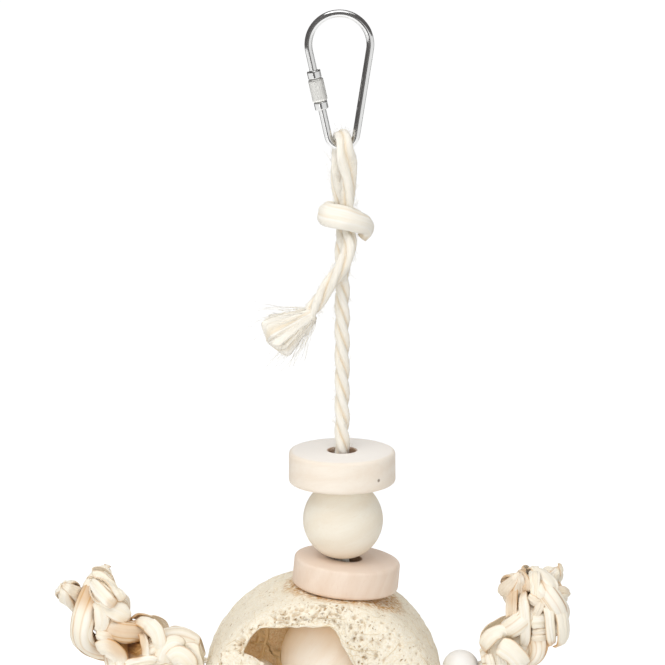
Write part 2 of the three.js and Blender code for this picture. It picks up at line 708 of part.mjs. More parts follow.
function addArm(sideName, side) {
  const outward = outwardOf(side);
  const wall = hollowReach(outward) - 3 * GAP;
  const beadOutside = side > 0;
  const beadDistance = beadOutside ? surface + GAP + BEAD_DIAMETER / 2 : wall - BEAD_DIAMETER / 2;
  const knotDistance = (beadOutside ? wall : wall - BEAD_DIAMETER - GAP) - ANCHOR_KNOT / 2;
  const startDistance = PLAIT_START + (beadOutside ? beadDistance + BEAD_DIAMETER / 2 : surface);
  const line = plaitCurve(sideName, outward, pointOut(outward, startDistance));

  addBead(sideName, outward, beadDistance);
  addMesh(toy, `${sideName}_anchor`, anchor(outward, knotDistance), rope);
  addMesh(toy, `${sideName}_cord`, armCord(outward, startDistance), rope);
  for (let number = 0; number < STRAND_COUNT; number += 1) {
    addMesh(toy, `${sideName}_husk_strand_${number + 1}`, huskStrand(line, number), husk);
  }
  const band = addMesh(toy, `${sideName}_husk_band`, bindingBand(), husk);
  band.position.copy(pointOut(outward, startDistance + BAND_HEIGHT / 2 + GAP));
  band.quaternion.setFromUnitVectors(Z_AXIS, outward);
}

addArm('right', 1);
addArm('left', -1);

export default toy;
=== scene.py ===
"""Bird chew toy on a quick link: rope, turned wood, a loofah slice and corn-husk plaits."""
import math

import bpy
import numpy as np
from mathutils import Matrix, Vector, noise
from mathutils.bvhtree import BVHTree


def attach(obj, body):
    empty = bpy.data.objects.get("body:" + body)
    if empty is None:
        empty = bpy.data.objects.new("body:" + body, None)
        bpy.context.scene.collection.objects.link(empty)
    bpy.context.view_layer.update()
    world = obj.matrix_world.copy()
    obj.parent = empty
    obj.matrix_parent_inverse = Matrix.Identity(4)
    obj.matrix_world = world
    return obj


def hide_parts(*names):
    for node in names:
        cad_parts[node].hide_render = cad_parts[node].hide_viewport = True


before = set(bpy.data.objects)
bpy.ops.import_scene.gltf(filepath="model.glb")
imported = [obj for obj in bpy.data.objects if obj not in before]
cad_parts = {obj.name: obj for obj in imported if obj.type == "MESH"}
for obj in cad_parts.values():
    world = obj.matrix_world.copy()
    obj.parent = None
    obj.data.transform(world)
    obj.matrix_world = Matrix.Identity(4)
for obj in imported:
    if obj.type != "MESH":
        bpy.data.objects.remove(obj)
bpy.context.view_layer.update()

scene = bpy.context.scene
chance = np.random.default_rng(1221)
MM = 0.001
TURN = 2 * math.pi

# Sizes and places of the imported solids, in millimetres
WIRE = 2.5
ROPE = 4.8
ROPE_X = 1.2
LEG_SPREAD = 1.854
HITCH_X = 2.1
LINK_FOOT_Z = -41.23
LEAN = math.radians(4.8)
LEAN_UP = np.array([math.sin(LEAN), 0, math.cos(LEAN)])
LEAN_RIGHT = np.array([math.cos(LEAN), 0, -math.sin(LEAN)])
LOOFAH = np.array([-5.0, 0, -223.5])
LOOFAH_HALF_DEPTH = 25.0
HOLLOW_HALF = [28.35, 29.57]
SEAT = 38.2
DISC_RADIUS = 17.2
DISC_UP = 43.2
LOWER_DISC_SHIFT = 3.9
INNER_BALL_UP = 14.46
WOOD_BORE = 4.5
CORD = 2.05
ARM_PIVOT = 39.8
ANCHOR_END = 39.2
STRAND = 6.6


def set_camera():
    """The photograph's angle."""
    target = Vector((-1.92, 0, -101.2)) * MM
    rise = math.radians(12.5)
    lens = bpy.data.cameras.new("camera")
    lens.sensor_width = 36
    lens.lens = 186.1
    camera = bpy.data.objects.new("camera", lens)
    back = Vector((0, -math.cos(rise), math.sin(rise)))
    camera.location = target + back * 1.1
    camera.rotation_mode = "QUATERNION"
    camera.rotation_quaternion = (-back).to_track_quat("-Z", "Y")
    lens.clip_start = 0.05
    scene.collection.objects.link(camera)
    scene.camera = camera


set_camera()


# Lines and surfaces in numbers
def on_lean(up, right):
    """A place by the loofah's leaning axis."""
    return LOOFAH + LEAN_UP * up + LEAN_RIGHT * right


def unit(vectors):
    length = np.linalg.norm(vectors, axis=-1, keepdims=True)
    return vectors / np.maximum(length, 1e-9)


def ease(values, low, high):
    share = np.clip((np.asarray(values, float) - low) / (high - low), 0, 1)
    return share * share * (3 - 2 * share)


def full_turn(count):
    return np.linspace(0, TURN, count, endpoint=False)


def noise_at(places):
    return np.array([noise.noise(Vector(p)) for p in places])


def noise_grid(rows, columns, place):
    """Noise for each row and column, at the place they give."""
    return np.array([noise_at([place(row, column) for column in columns]) for row in rows])


def distances(route):
    return np.concatenate([[0], np.cumsum(np.linalg.norm(np.diff(route, axis=0), axis=1))])


def even_route(line, spacing):
    reach = distances(line)
    count = max(int(round(reach[-1] / spacing)), 2)
    at = np.linspace(0, reach[-1], count + 1)
    return np.stack([np.interp(at, reach, line[:, i]) for i in range(3)], axis=1)


def smooth_route(points, spacing):
    """A line through points, evenly spaced."""
    given = np.asarray(points, float)
    ends = [2 * given[0] - given[1], *given, 2 * given[-1] - given[-2]]
    line = []
    for p0, p1, p2, p3 in zip(ends, ends[1:], ends[2:], ends[3:]):
        t1 = np.linalg.norm(p1 - p0) ** 0.5
        t2 = t1 + np.linalg.norm(p2 - p1) ** 0.5
        t3 = t2 + np.linalg.norm(p3 - p2) ** 0.5
        t = np.linspace(t1, t2, 24, endpoint=False)[:, None]

        def between(a, b, start, end):
            return a * (end - t) / (end - start) + b * (t - start) / (end - start)

        a1, a2, a3 = between(p0, p1, 0, t1), between(p1, p2, t1, t2), between(p2, p3, t2, t3)
        line.append(between(between(a1, a2, 0, t2), between(a2, a3, t1, t3), t1, t2))
    return even_route(np.vstack([*line, given[-1:]]), spacing)


def headings(route):
    return unit(np.gradient(route, axis=0))


def frames_along(route, first=(0, -1, 0)):
    """Two square directions carried along a line without twist."""
    tangents = headings(route)
    normal = np.array(first, float)
    if abs(normal @ tangents[0]) > 0.9:
        normal = np.array([1.0, 0, 0])
    normals = np.empty_like(route)
    for i, tangent in enumerate(tangents):
        normal = normal - tangent * (normal @ tangent)
        normal = normal / np.linalg.norm(normal)
        normals[i] = normal
    return normals, np.cross(tangents, normals)


def swept(route, ways, sizes):
    """Sections along a line: sizes for (row, column) out along its two square directions."""
    first, second = (way[:, None, :] * size[..., None] for way, size in zip(ways, sizes))
    return route[:, None, :] + first + second


def grid_faces(rows, columns, closed=True):
    across = np.arange(columns if closed else columns - 1)
    after = (across + 1) % columns
    start = np.arange(rows - 1)[:, None] * columns
    corners = [start + across, start + after, start + columns + after, start + columns + across]
    return np.stack(corners, axis=-1).reshape(-1, 4)


def tube_faces(rows, columns):
    last = (rows - 1) * columns
    ends = [list(range(columns))[::-1], list(range(last, last + columns))]
    return grid_faces(rows, columns).tolist() + ends


def hoop_faces(rows, columns):
    """A tube whose last ring joins its first."""
    return (grid_faces(rows + 1, columns) % (rows * columns)).tolist()


def shape_of(rings, faces_of, **marks):
    """Rings of points as one shape: points, faces and a value of each mark for each point."""
    size = rings.shape[:2]
    flat = {name: np.broadcast_to(values, size).ravel() for name, values in marks.items()}
    return rings.reshape(-1, 3), faces_of(*size), flat


def joined(shapes):
    """Several shapes as one."""
    points, faces, marks, start = [], [], {}, 0
    for some_points, some_faces, some_marks in shapes:
        points.append(some_points)
        faces.extend([[i + start for i in face] for face in some_faces])
        for name, values in some_marks.items():
            marks.setdefault(name, []).append(values)
        start += len(some_points)
    return np.vstack(points), faces, {name: np.concatenate(v) for name, v in marks.items()}


def new_object(name, points, faces, finish):
    """A mesh object from points in metres."""
    mesh = bpy.data.meshes.new(name)
    mesh.from_pydata(np.asarray(points).tolist(), [], faces)
    mesh.materials.append(finish)
    made = bpy.data.objects.new(name, mesh)
    scene.collection.objects.link(made)
    return made


def new_piece(name, shape, finish, body, slot, stands_for=()):
    """A piece from a shape in millimetres that rides on a body."""
    points, faces, marks = shape
    piece = new_object(name, points * MM, faces, finish)
    mesh = piece.data
    mesh.polygons.foreach_set("use_smooth", np.ones(len(mesh.polygons), bool))
    for mark, values in marks.items():
        layer = mesh.attributes.new(mark, "FLOAT", "POINT")
        layer.data.foreach_set("value", np.asarray(values, np.float32))
    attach(piece, body)
    if stands_for:
        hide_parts(*stands_for)
    return piece


# Finishes
def linear(red, green, blue):
    """A colour given as seen on screen, 0 to 255."""
    parts = [v / 255 for v in (red, green, blue)]
    return (*(v / 12.92 if v <= 0.04045 else ((v + 0.055) / 1.055) ** 2.4 for v in parts), 1)


class Nodes:
    """Places and joins nodes in one tree."""

    def __init__(self, tree):
        self.tree = tree

    def join(self, value, socket):
        """Joins a socket to another, or sets a plain value on it."""
        if isinstance(value, bpy.types.NodeSocket):
            self.tree.links.new(value, socket)
        else:
            socket.default_value = value

    def add(self, kind, inputs=(), **settings):
        node = self.tree.nodes.new(kind)
        for name, value in settings.items():
            setattr(node, name, value)
        for key, value in dict(inputs).items():
            self.join(value, node.inputs[key])
        return node

    def math(self, operation, a, b=0.0):
        return self.add("ShaderNodeMath", {0: a, 1: b}, operation=operation).outputs[0]

    def times(self, a, b):
        return self.math("MULTIPLY", a, b)

    def vector_math(self, operation, a, b, output):
        return self.add("ShaderNodeVectorMath", {0: a, 1: b}, operation=operation).outputs[output]

    def span(self, value, low, high, to_low=0.0, to_high=1.0):
        inputs = {"Value": value, "From Min": low, "From Max": high, "To Min": to_low, "To Max": to_high}
        return self.add("ShaderNodeMapRange", inputs).outputs["Result"]

    def mix(self, share, first, second):
        """Mixes two colours, each a socket or as seen on screen, 0 to 255."""
        first, second = (linear(*v) if isinstance(v, tuple) else v for v in (first, second))
        return self.add("ShaderNodeMix", {0: share, 6: first, 7: second}, data_type="RGBA").outputs[2]

    def mark(self, name):
        return self.add("ShaderNodeAttribute", attribute_name=name).outputs["Fac"]

    def place(self):
        return self.add("ShaderNodeTexCoord").outputs["Object"]

    def mapped(self, vector, **values):
        return self.add("ShaderNodeMapping", {"Vector": vector, **values}).outputs[0]

    def noise(self, vector, scale, detail=3.0, roughness=0.55):
        inputs = {"Vector": vector, "Scale": scale, "Detail": detail, "Roughness": roughness}
        return self.add("ShaderNodeTexNoise", inputs).outputs["Fac"]

    def bump(self, height, distance, strength):
        inputs = {"Height": height, "Distance": distance * MM, "Strength": strength}
        return self.add("ShaderNodeBump", inputs).outputs["Normal"]


class Finish(Nodes):
    """A material's nodes, which feed its shader."""

    def __init__(self, name):
        self.material = bpy.data.materials.new(name)
        self.material.use_nodes = True
        super().__init__(self.material.node_tree)

    def streaked(self, fineness, stretch):
        inputs = {"Across": self.mark("across"), "Along": self.mark("along"),
                  "Fineness": fineness, "Stretch": stretch}
        outputs = self.add("ShaderNodeGroup", inputs, node_tree=streaks).outputs
        return outputs["Streak"], outputs["Blotch"]

    def feed(self, **values):
        """Joins sockets to the shader's inputs, or sets plain values on them."""
        shader = self.tree.nodes["Principled BSDF"]
        for label, value in values.items():
            self.join(value, shader.inputs[label.replace("_", " ")])
        return self.material


def new_group(name, inputs, outputs):
    """A node group; its socket named Place is a vector, the others are numbers."""
    tree = bpy.data.node_groups.new(name, "ShaderNodeTree")
    for way, labels in (("INPUT", inputs), ("OUTPUT", outputs)):
        for label in labels:
            kind = "NodeSocketVector" if label == "Place" else "NodeSocketFloat"
            tree.interface.new_socket(name=label, in_out=way, socket_type=kind)
    nodes = Nodes(tree)
    return nodes, nodes.add("NodeGroupInput").outputs, nodes.add("NodeGroupOutput").inputs


def fibre_group():
    """Fine streaks along a strand or leaf, from its across and along marks in millimetres."""
    labels = ["Across", "Along", "Fineness", "Stretch"]
    nodes, given, result = new_group("fibre_streaks", labels, ["Streak", "Blotch"])
    across = nodes.times(given["Across"], given["Fineness"])
    along = nodes.times(given["Along"], given["Stretch"])
    spot = nodes.add("ShaderNodeCombineXYZ", {"X": across, "Y": along}).outputs[0]
    nodes.join(nodes.span(nodes.noise(spot, 1.0, 4.0, 0.6), 0.3, 0.7), result["Streak"])
    nodes.join(nodes.span(nodes.noise(spot, 0.22, 2.0), 0.35, 0.65), result["Blotch"])
    return nodes.tree


def wood_group():
    """Long faint grain and small flecks in turned wood, from its own place."""
    nodes, given, result = new_group("turned_wood_grain", ["Place", "Rings"], ["Grain", "Fleck", "Cloud"])
    place = given["Place"]
    lines = nodes.noise(nodes.mapped(place, Scale=(90, 900, 900)), 1.0, 4.0, 0.6)
    wave = {"Vector": place, "Scale": given["Rings"], "Distortion": 6.0, "Detail": 2.0}
    rings = nodes.add("ShaderNodeTexWave", wave, wave_type="RINGS", rings_direction="X").outputs["Fac"]
    both = nodes.math("ADD", nodes.times(lines, 0.7), nodes.times(rings, 0.3))
    fleck = nodes.noise(nodes.mapped(place, Scale=(500, 3000, 3000)), 1.0, 1.0)
    cloud = nodes.noise(nodes.mapped(place, Scale=(40, 40, 40)), 1.0)
    nodes.join(nodes.span(both, 0.3, 0.7), result["Grain"])
    nodes.join(nodes.span(fleck, 0.64, 0.74), result["Fleck"])
    nodes.join(nodes.span(cloud, 0.3, 0.7), result["Cloud"])
    return nodes.tree


streaks = fibre_group()
grain = wood_group()


def rope_finish():
    nodes = Finish("sisal rope")
    streak, blotch = nodes.streaked(7.0, 0.12)
    pale = nodes.mix(blotch, (250, 245, 233), (253, 250, 243))
    colour = nodes.mix(nodes.times(streak, 0.35), pale, (238, 224, 196))
    # Painted shade: golden brown in the crevices between the strands.
    colour = nodes.mix(nodes.mark("groove"), colour, (226, 196, 146))
    nodes.feed(Base_Color=colour, Roughness=0.82, Normal=nodes.bump(streak, 0.12, 0.7))
    return nodes.feed(Specular_IOR_Level=0.25, Sheen_Weight=0.15)


def hair_finish():
    nodes = Finish("loose fibre")
    colour = nodes.mix(nodes.mark("tone"), (255, 253, 248), (249, 243, 230))
    return nodes.feed(Base_Color=colour, Roughness=0.75, Specular_IOR_Level=0.25)


def wood_finish(name, pale, warm, dark, rings, turn=(0.2, 0.1, 0.4), flat=(255, 250, 244), speck=None):
    nodes = Finish(name)
    place = nodes.place()
    inputs = {"Place": nodes.mapped(place, Rotation=turn), "Rings": rings}
    made = nodes.add("ShaderNodeGroup", inputs, node_tree=grain).outputs
    colour = nodes.mix(made["Cloud"], pale, warm)
    colour = nodes.mix(nodes.times(made["Grain"], 0.3), colour, dark)
    colour = nodes.mix(nodes.times(made["Fleck"], 0.3), colour, dark)
    colour = nodes.mix(nodes.times(nodes.mark("bore"), 0.75), colour, (150, 104, 62))
    colour = nodes.mix(nodes.times(nodes.mark("face"), 0.85), colour, flat)
    if speck:
        away = nodes.vector_math("DISTANCE", place, speck, "Value")
        colour = nodes.mix(nodes.span(away, 0.0003, 0.0007, 0.8, 0.0), colour, (110, 84, 62))
    rough = nodes.span(made["Grain"], 0, 1, 0.5, 0.62)
    nodes.feed(Base_Color=colour, Roughness=rough, Normal=nodes.bump(made["Grain"], 0.05, 0.5))
    return nodes.feed(Specular_IOR_Level=0.35)


def steel_finish(name, scale, pale, paler, smooth, rough, relief=0.0):
    nodes = Finish(name)
    wear = nodes.noise(nodes.place(), scale, 4.0)
    if relief:
        nodes.feed(Normal=nodes.bump(wear, relief, 0.5))
    rough = nodes.span(wear, 0.3, 0.7, smooth, rough)
    return nodes.feed(Base_Color=nodes.mix(wear, pale, paler), Metallic=1.0, Roughness=rough)


def husk_finish():
    nodes = Finish("corn husk")
    streak, blotch = nodes.streaked(2.6, 0.035)
    pale = nodes.mix(blotch, (254, 249, 238), (250, 241, 221))
    colour = nodes.mix(nodes.times(streak, 0.22), pale, (238, 219, 182))
    # The fold mark turns the husk golden brown: its own crease colour, plus painted shade where leaves turn
    # under or lie deep in the plait.
    colour = nodes.mix(nodes.mark("fold"), colour, (208, 154, 80))
    nodes.feed(Base_Color=colour, Roughness=0.6, Normal=nodes.bump(streak, 0.1, 0.6))
    return nodes.feed(Specular_IOR_Level=0.3)


def bead_finish():
    nodes = Finish("white bead")
    cloud = nodes.noise(nodes.place(), 260.0)
    colour = nodes.mix(cloud, (250, 249, 246), (246, 243, 237))
    colour = nodes.mix(nodes.times(nodes.mark("bore"), 0.6), colour, (190, 170, 140))
    rough = nodes.span(cloud, 0.3, 0.7, 0.42, 0.55)
    return nodes.feed(Base_Color=colour, Roughness=rough, Normal=nodes.bump(cloud, 0.04, 0.4))


def loofah_finish():
    nodes = Finish("loofah mat")
    place = nodes.place()
    patch = nodes.noise(place, 130.0)
    bend = nodes.span(nodes.noise(place, 420.0, 2.0), 0.3, 0.7)
    moved = nodes.vector_math("ADD", place, (0.0012, 0.0012, 0.0012), 0)
    bent = nodes.add("ShaderNodeMix", {0: bend, 4: place, 5: moved}, data_type="VECTOR").outputs[1]

    def pores(scale, channel, fade, chosen):
        """Round pores in the cells that a share of chance picks."""
        cells = nodes.add("ShaderNodeTexVoronoi", {"Vector": bent, "Scale": scale, "Randomness": 1.0}).outputs
        lot = nodes.add("ShaderNodeSeparateColor", {0: cells["Color"]}).outputs[channel]
        spot = nodes.span(cells["Distance"], 0.14, fade, 1.0, 0.0)
        return nodes.times(spot, nodes.math("LESS_THAN", lot, chosen))

    big = pores(640.0, 0, 0.3, nodes.span(nodes.mark("cut"), 0, 0.6, 0.07, 0.9))
    dot = pores(1050.0, 1, 0.36, nodes.span(patch, 0.38, 0.62, 0.1, 0.34))
    pore = nodes.math("MAXIMUM", nodes.times(big, 0.9), nodes.times(dot, 0.6))
    mat = nodes.noise(place, 1500.0, 4.0, 0.65)
    base = nodes.mix(patch, (254, 248, 234), (251, 242, 222))
    colour = nodes.mix(nodes.span(mat, 0.4, 0.66, 0.0, 0.6), base, (238, 219, 182))
    colour = nodes.mix(pore, colour, (186, 144, 86))
    # Painted shade, golden brown, in the pressed pits.
    colour = nodes.mix(nodes.mark("pit"), colour, (190, 146, 84))
    # Painted shade over the hollow's walls, golden brown in patches.
    hollow = nodes.mix(nodes.span(mat, 0.35, 0.65), (250, 236, 208), (230, 198, 150))
    colour = nodes.mix(nodes.mark("inside"), colour, hollow)
    # Painted contact shadow on the seat under the lower disc.
    colour = nodes.mix(nodes.mark("disc_shadow"), colour, (202, 152, 84))
    height = nodes.math("SUBTRACT", mat, nodes.times(pore, 1.1))
    nodes.feed(Base_Color=colour, Roughness=0.9, Normal=nodes.bump(height, 0.32, 0.9))
    # Painted light: the hollow's walls glow faintly, as if lit through the opening.
    hollow_glow = nodes.mix(nodes.mark("inside"), (0, 0, 0), nodes.mix(mat, (90, 74, 52), (64, 52, 37)))
    return nodes.feed(Specular_IOR_Level=0.15, Emission_Color=hollow_glow, Emission_Strength=1.0)


def loofah_fibre_finish():
    nodes = Finish("loofah fibre")
    tone = nodes.mark("tone")
    # Tones from 1 to 2 mark fibres in the hollow: painted light makes them paler and lets them glow.
    deep = nodes.span(tone, 1.0, 2.0)
    colour = nodes.mix(tone, (250, 243, 228), (232, 212, 176))
    colour = nodes.mix(deep, colour, (246, 222, 178))
    nodes.feed(Base_Color=colour, Roughness=0.8, Specular_IOR_Level=0.2)
    return nodes.feed(Emission_Color=nodes.mix(deep, (0, 0, 0), (88, 73, 51)), Emission_Strength=1.0)


sisal = rope_finish()
hair = hair_finish()
disc_wood = wood_finish("disc wood", (246, 236, 222), (243, 231, 215), (233, 213, 190), 60.0,
                        speck=(0.0128, -0.0127, -0.1468))
pink_wood = wood_finish("pink disc wood", (241, 223, 205), (237, 216, 197), (223, 194, 168), 60.0,
                        (0.3, 1.2, 0.1), flat=(240, 220, 203))
ball_wood = wood_finish("ball wood", (244, 238, 223), (241, 231, 213), (231, 214, 187), 45.0,
                        (0.9, 0.3, 0.2))
# Painted light: the inner balls' wood is paler than the upper ball's, so that it reads lit inside the
# loofah's shade.
brightened_inner_wood = wood_finish("inner ball wood", (254, 245, 231), (252, 240, 222), (242, 222, 196), 45.0,
                         (0.5, 0.9, 0.2))
bright_steel = steel_finish("bright steel", 350.0, (208, 208, 207), (226, 226, 225), 0.1, 0.16)
frosted_steel = steel_finish("frosted steel", 900.0, (230, 229, 224), (243, 242, 238), 0.42, 0.58, 0.02)
husk_leaf = husk_finish()
white_bead = bead_finish()
loofah_mat = loofah_finish()
loofah_thread = loofah_fibre_finish()


# Rope
def leg_point(side, spread, x, z, bearing=28):
    """A place on one of the rope's two legs; 1 is the one in front, -1 the one behind."""
    turn = math.radians(bearing)
    return np.array([x + side * spread * math.sin(turn), -side * spread * math.cos(turn), z])


def laid_strands(route, thickness, lay, width=1.0, depth=1.0, first=(0, -1, 0), turn=0.0, sides=20):
    """Three strands laid round a line; width and depth flatten the rope along its two square directions."""
    reach = distances(route)[:, None]
    ways = frames_along(route, first)
    wide, deep = (np.broadcast_to(share, len(route))[:, None] for share in (width, depth))
    ring = full_turn(sides)
    swing = 0.235 * thickness
    strands = []
    for strand in range(3):
        angle = turn + TURN * strand / 3 - TURN * reach / lay
        yarn = 1 + 0.04 * np.cos(6 * ring + TURN * reach / (lay * 0.45) + strand)
        worn = noise_at([(s * 0.35, strand * 9.1, 0) for s in reach[:, 0]])[:, None]
        radius = 0.282 * thickness * (1 + 0.05 * worn) * yarn
        out_n = swing * np.cos(angle) + radius * np.cos(angle + ring)
        out_b = swing * np.sin(angle) + radius * np.sin(angle + ring)
        from_middle = np.hypot(out_n, out_b) / (0.52 * thickness)
        strands.append(shape_of(
            swept(route, ways, (out_n * deep, out_b * wide)), tube_faces, along=reach,
            across=np.abs(ring - math.pi) * 0.26 * thickness + strand * 31.0,
            # Painted shade in the crevices between the strands, strongest nearest the rope's middle.
            groove=0.5 * (1 - ease(from_middle, 0.55, 0.9)),
        ))
    return joined(strands)


def soft_bundle(route, tall, thick, first, sides=40):
    """A stretch of rope pulled flat, its strands lying side by side."""
    reach = distances(route)
    ring = full_turn(sides)
    furrow = 0.035 * np.cos(7 * ring + 0.09 * reach[:, None]) + 0.03 * np.cos(4 * ring + 1)
    lump = noise_grid(reach, ring, lambda s, a: (s * 0.2, 1.6 * math.cos(a), 1.6 * math.sin(a)))
    size = 1 + furrow + 0.09 * lump
    sizes = (thick[:, None] * size * np.cos(ring), tall[:, None] * size * np.sin(ring))
    at_ends = ease(np.abs(2 * reach / reach[-1] - 1), 0.85, 1)[:, None]
    return shape_of(
        swept(route, frames_along(route, first), sizes), tube_faces, along=reach[:, None],
        # Painted shade in the furrows and towards both tucked-in ends.
        across=np.abs(ring - math.pi) * 3.0, groove=0.45 * ease(-furrow, 0.02, 0.07) + 0.35 * at_ends,
    )


def add_rope(name, shape, stands_for=(), body="rope"):
    return new_piece(name, shape, sisal, body, "rope_fibre", stands_for)


def loop_route():
    low, bent, wide = -63.88, -60.23, -50.83
    over_x, over_spread, over_rise = 1.15, 4.306, 3.802
    up = [leg_point(-1, LEG_SPREAD, HITCH_X, low), leg_point(-1, LEG_SPREAD, HITCH_X, bent),
          leg_point(-1, 3.875, 1.296, wide)]
    over = []
    for angle in math.pi * np.arange(9) / 8:
        z = LINK_FOOT_Z + over_rise * math.sin(angle)
        over.append(leg_point(-1, over_spread * math.cos(angle), over_x, z, 10))
    down = [leg_point(1, 3.875, 1.296, wide), leg_point(1, LEG_SPREAD, HITCH_X, bent),
            leg_point(1, LEG_SPREAD, HITCH_X, low)]
    return smooth_route(up + over + down, 0.5)


def below_hitch(side):
    return [leg_point(side, LEG_SPREAD, HITCH_X, z) for z in (-64.18, -67.83)]


def stem_route():
    upright = [(ROPE_X, 0, z) for z in (-74.03, -117.4, -150.1, -163.1)]
    leaning = [(47.9, 2.34), (SEAT, 1.95), (29.57, 1.17), (14.31, 0), (-14.31, 0), (-48.2, 0), (-58.2, 0)]
    return smooth_route(below_hitch(-1) + upright + [on_lean(*place) for place in leaning], 0.55)


def tail_route():
    free = [(3.4, -5.4, -73.03), (0.6, -6.0, -79.03), (-4.3, -5.4, -86.53), (-8.4, -4.7, -92.9),
            (-9.8, -4.5, -95.0)]
    return smooth_route(below_hitch(1) + free, 0.5)


def hairs(starts, directions, lengths, radius, bend, rows=7):
    """Lines and radii of thin fibres: each leaves its start along its direction and strays."""
    count = len(starts)
    steps = np.linspace(0, 1, rows)
    curl = unit(chance.normal(size=(count, 3))) * (bend * lengths)[:, None]
    wave = unit(chance.normal(size=(count, 3))) * (0.25 * bend * lengths)[:, None]
    lines = (
        starts[:, None, :]
        + directions[:, None, :] * (lengths[:, None] * steps)[..., None]
        + curl[:, None, :] * (steps ** 2)[None, :, None]
        + wave[:, None, :] * np.sin(3.2 * math.pi * steps)[None, :, None]
    )
    return lines, np.outer(np.broadcast_to(radius, count), 1 - 0.55 * steps ** 2)


def add_threads(name, lines, radii, finish, body, slot, tones=None):
    """Three-sided fibres given as (fibre, row, xyz) lines with radii, as one piece."""
    count, rows = radii.shape
    if tones is None:
        tones = chance.uniform(0, 1, count)
    tangents = unit(np.gradient(lines, axis=1))
    guide = unit(chance.normal(size=(count, 1, 3)))
    normals = unit(np.cross(tangents, guide))
    others = np.cross(tangents, normals)
    angle = full_turn(3)
    points = (
        lines[:, :, None, :]
        + normals[:, :, None, :] * (radii[:, :, None] * np.cos(angle))[..., None]
        + others[:, :, None, :] * (radii[:, :, None] * np.sin(angle))[..., None]
    )
    first = np.arange(count)[:, None] * rows * 3
    faces = (grid_faces(rows, 3)[None] + first[:, None]).reshape(-1, 4).tolist()
    faces += (np.array([0, 2, 1]) + first).tolist()
    faces += (np.array([0, 1, 2]) + first + (rows - 1) * 3).tolist()
    shape = points.reshape(-1, 3), faces, {"tone": np.repeat(tones, rows * 3)}
    return new_piece(name, shape, finish, body, slot)


def stray_fibres(route, count, length):
    """Short fibres that stand off the rope."""
    tangents = headings(route)
    normals, others = frames_along(route)
    at = chance.integers(2, len(route) - 2, count)
    angle = chance.uniform(0, TURN, count)
    out = normals[at] * np.cos(angle)[:, None] + others[at] * np.sin(angle)[:, None]
    starts = route[at] + out * (0.44 * ROPE)
    sign = chance.choice([-1.0, 1.0], count)
    lean = chance.uniform(0.25, 1.0, count)
    heading = unit(tangents[at] * sign[:, None] + out * lean[:, None])
    lengths = chance.uniform(0.4, 1.0, count) * length
    return hairs(starts, heading, lengths, 0.045, 0.35)


def brush_heart(centre, heading, radius, length, spread):
    """The close inner fibres of a frayed end, as one furrowed tuft."""
    route = even_route(centre + np.outer(np.linspace(-2.0, length, 30), heading), 0.4)
    reach = distances(route)[:, None]
    share = reach / reach[-1]
    ring = full_turn(72)
    tuft = 0.1 * np.cos(13 * ring + 2.0) + 0.07 * np.cos(22 * ring) + 0.12 * np.cos(5 * ring + 0.7)
    size = radius * (0.9 + spread * share) * (1 + tuft * ease(share, 0.1, 0.8))
    size = size * np.sqrt(1 - 0.99 * ease(share, 0.74, 1.0))
    uneven_ends = 1.6 * np.cos(9 * ring + 1) + 1.1 * np.cos(16 * ring)
    stretch = share ** 2 * (1 - ease(share, 0.7, 1.0)) * uneven_ends
    rings = swept(route, frames_along(route), (size * np.cos(ring), size * np.sin(ring)))
    return shape_of(
        rings + heading * stretch[..., None], tube_faces, along=reach,
        # Painted shade in the tuft's furrows.
        across=np.abs(ring - math.pi) * radius, groove=0.3 * ease(-tuft, 0.02, 0.2),
    )


def brush_fibres(centre, heading, radius, length, spread):
    """The loose fibres of a frayed end, fanning out from its cut."""
    count, tuft_count = 170, 34
    side = unit(np.cross(heading, [0, 1, 0]))
    other = np.cross(heading, side)
    share = np.sqrt(chance.uniform(0, 1, count))
    angle = chance.uniform(0, TURN, count)
    out = side * np.cos(angle)[:, None] + other * np.sin(angle)[:, None]
    starts = centre + out * (share * radius)[:, None] - heading * 1.5
    tufts = chance.integers(0, tuft_count, count)
    tuft_way = chance.normal(size=(tuft_count, 3)) * 0.16
    tuft_length = chance.uniform(0.72, 1.05, tuft_count)
    way = heading + out * (share * spread)[:, None] + tuft_way[tufts] + chance.normal(size=(count, 3)) * 0.05
    lengths = length * tuft_length[tufts] * chance.uniform(0.75, 1.04, count)
    return hairs(starts, unit(way), lengths, chance.uniform(0.07, 0.13, count), 0.14, 9)


def add_brush(name, centre, heading, heart, fibres):
    """A frayed end; heart and fibres are each its radius, length and spread."""
    heading = unit(np.array(heading, float))
    tuft = add_rope(f"{name}_heart", brush_heart(centre, heading, *heart))
    return tuft, add_threads(name, *brush_fibres(centre, heading, *fibres), hair, "rope", "rope_fibre")


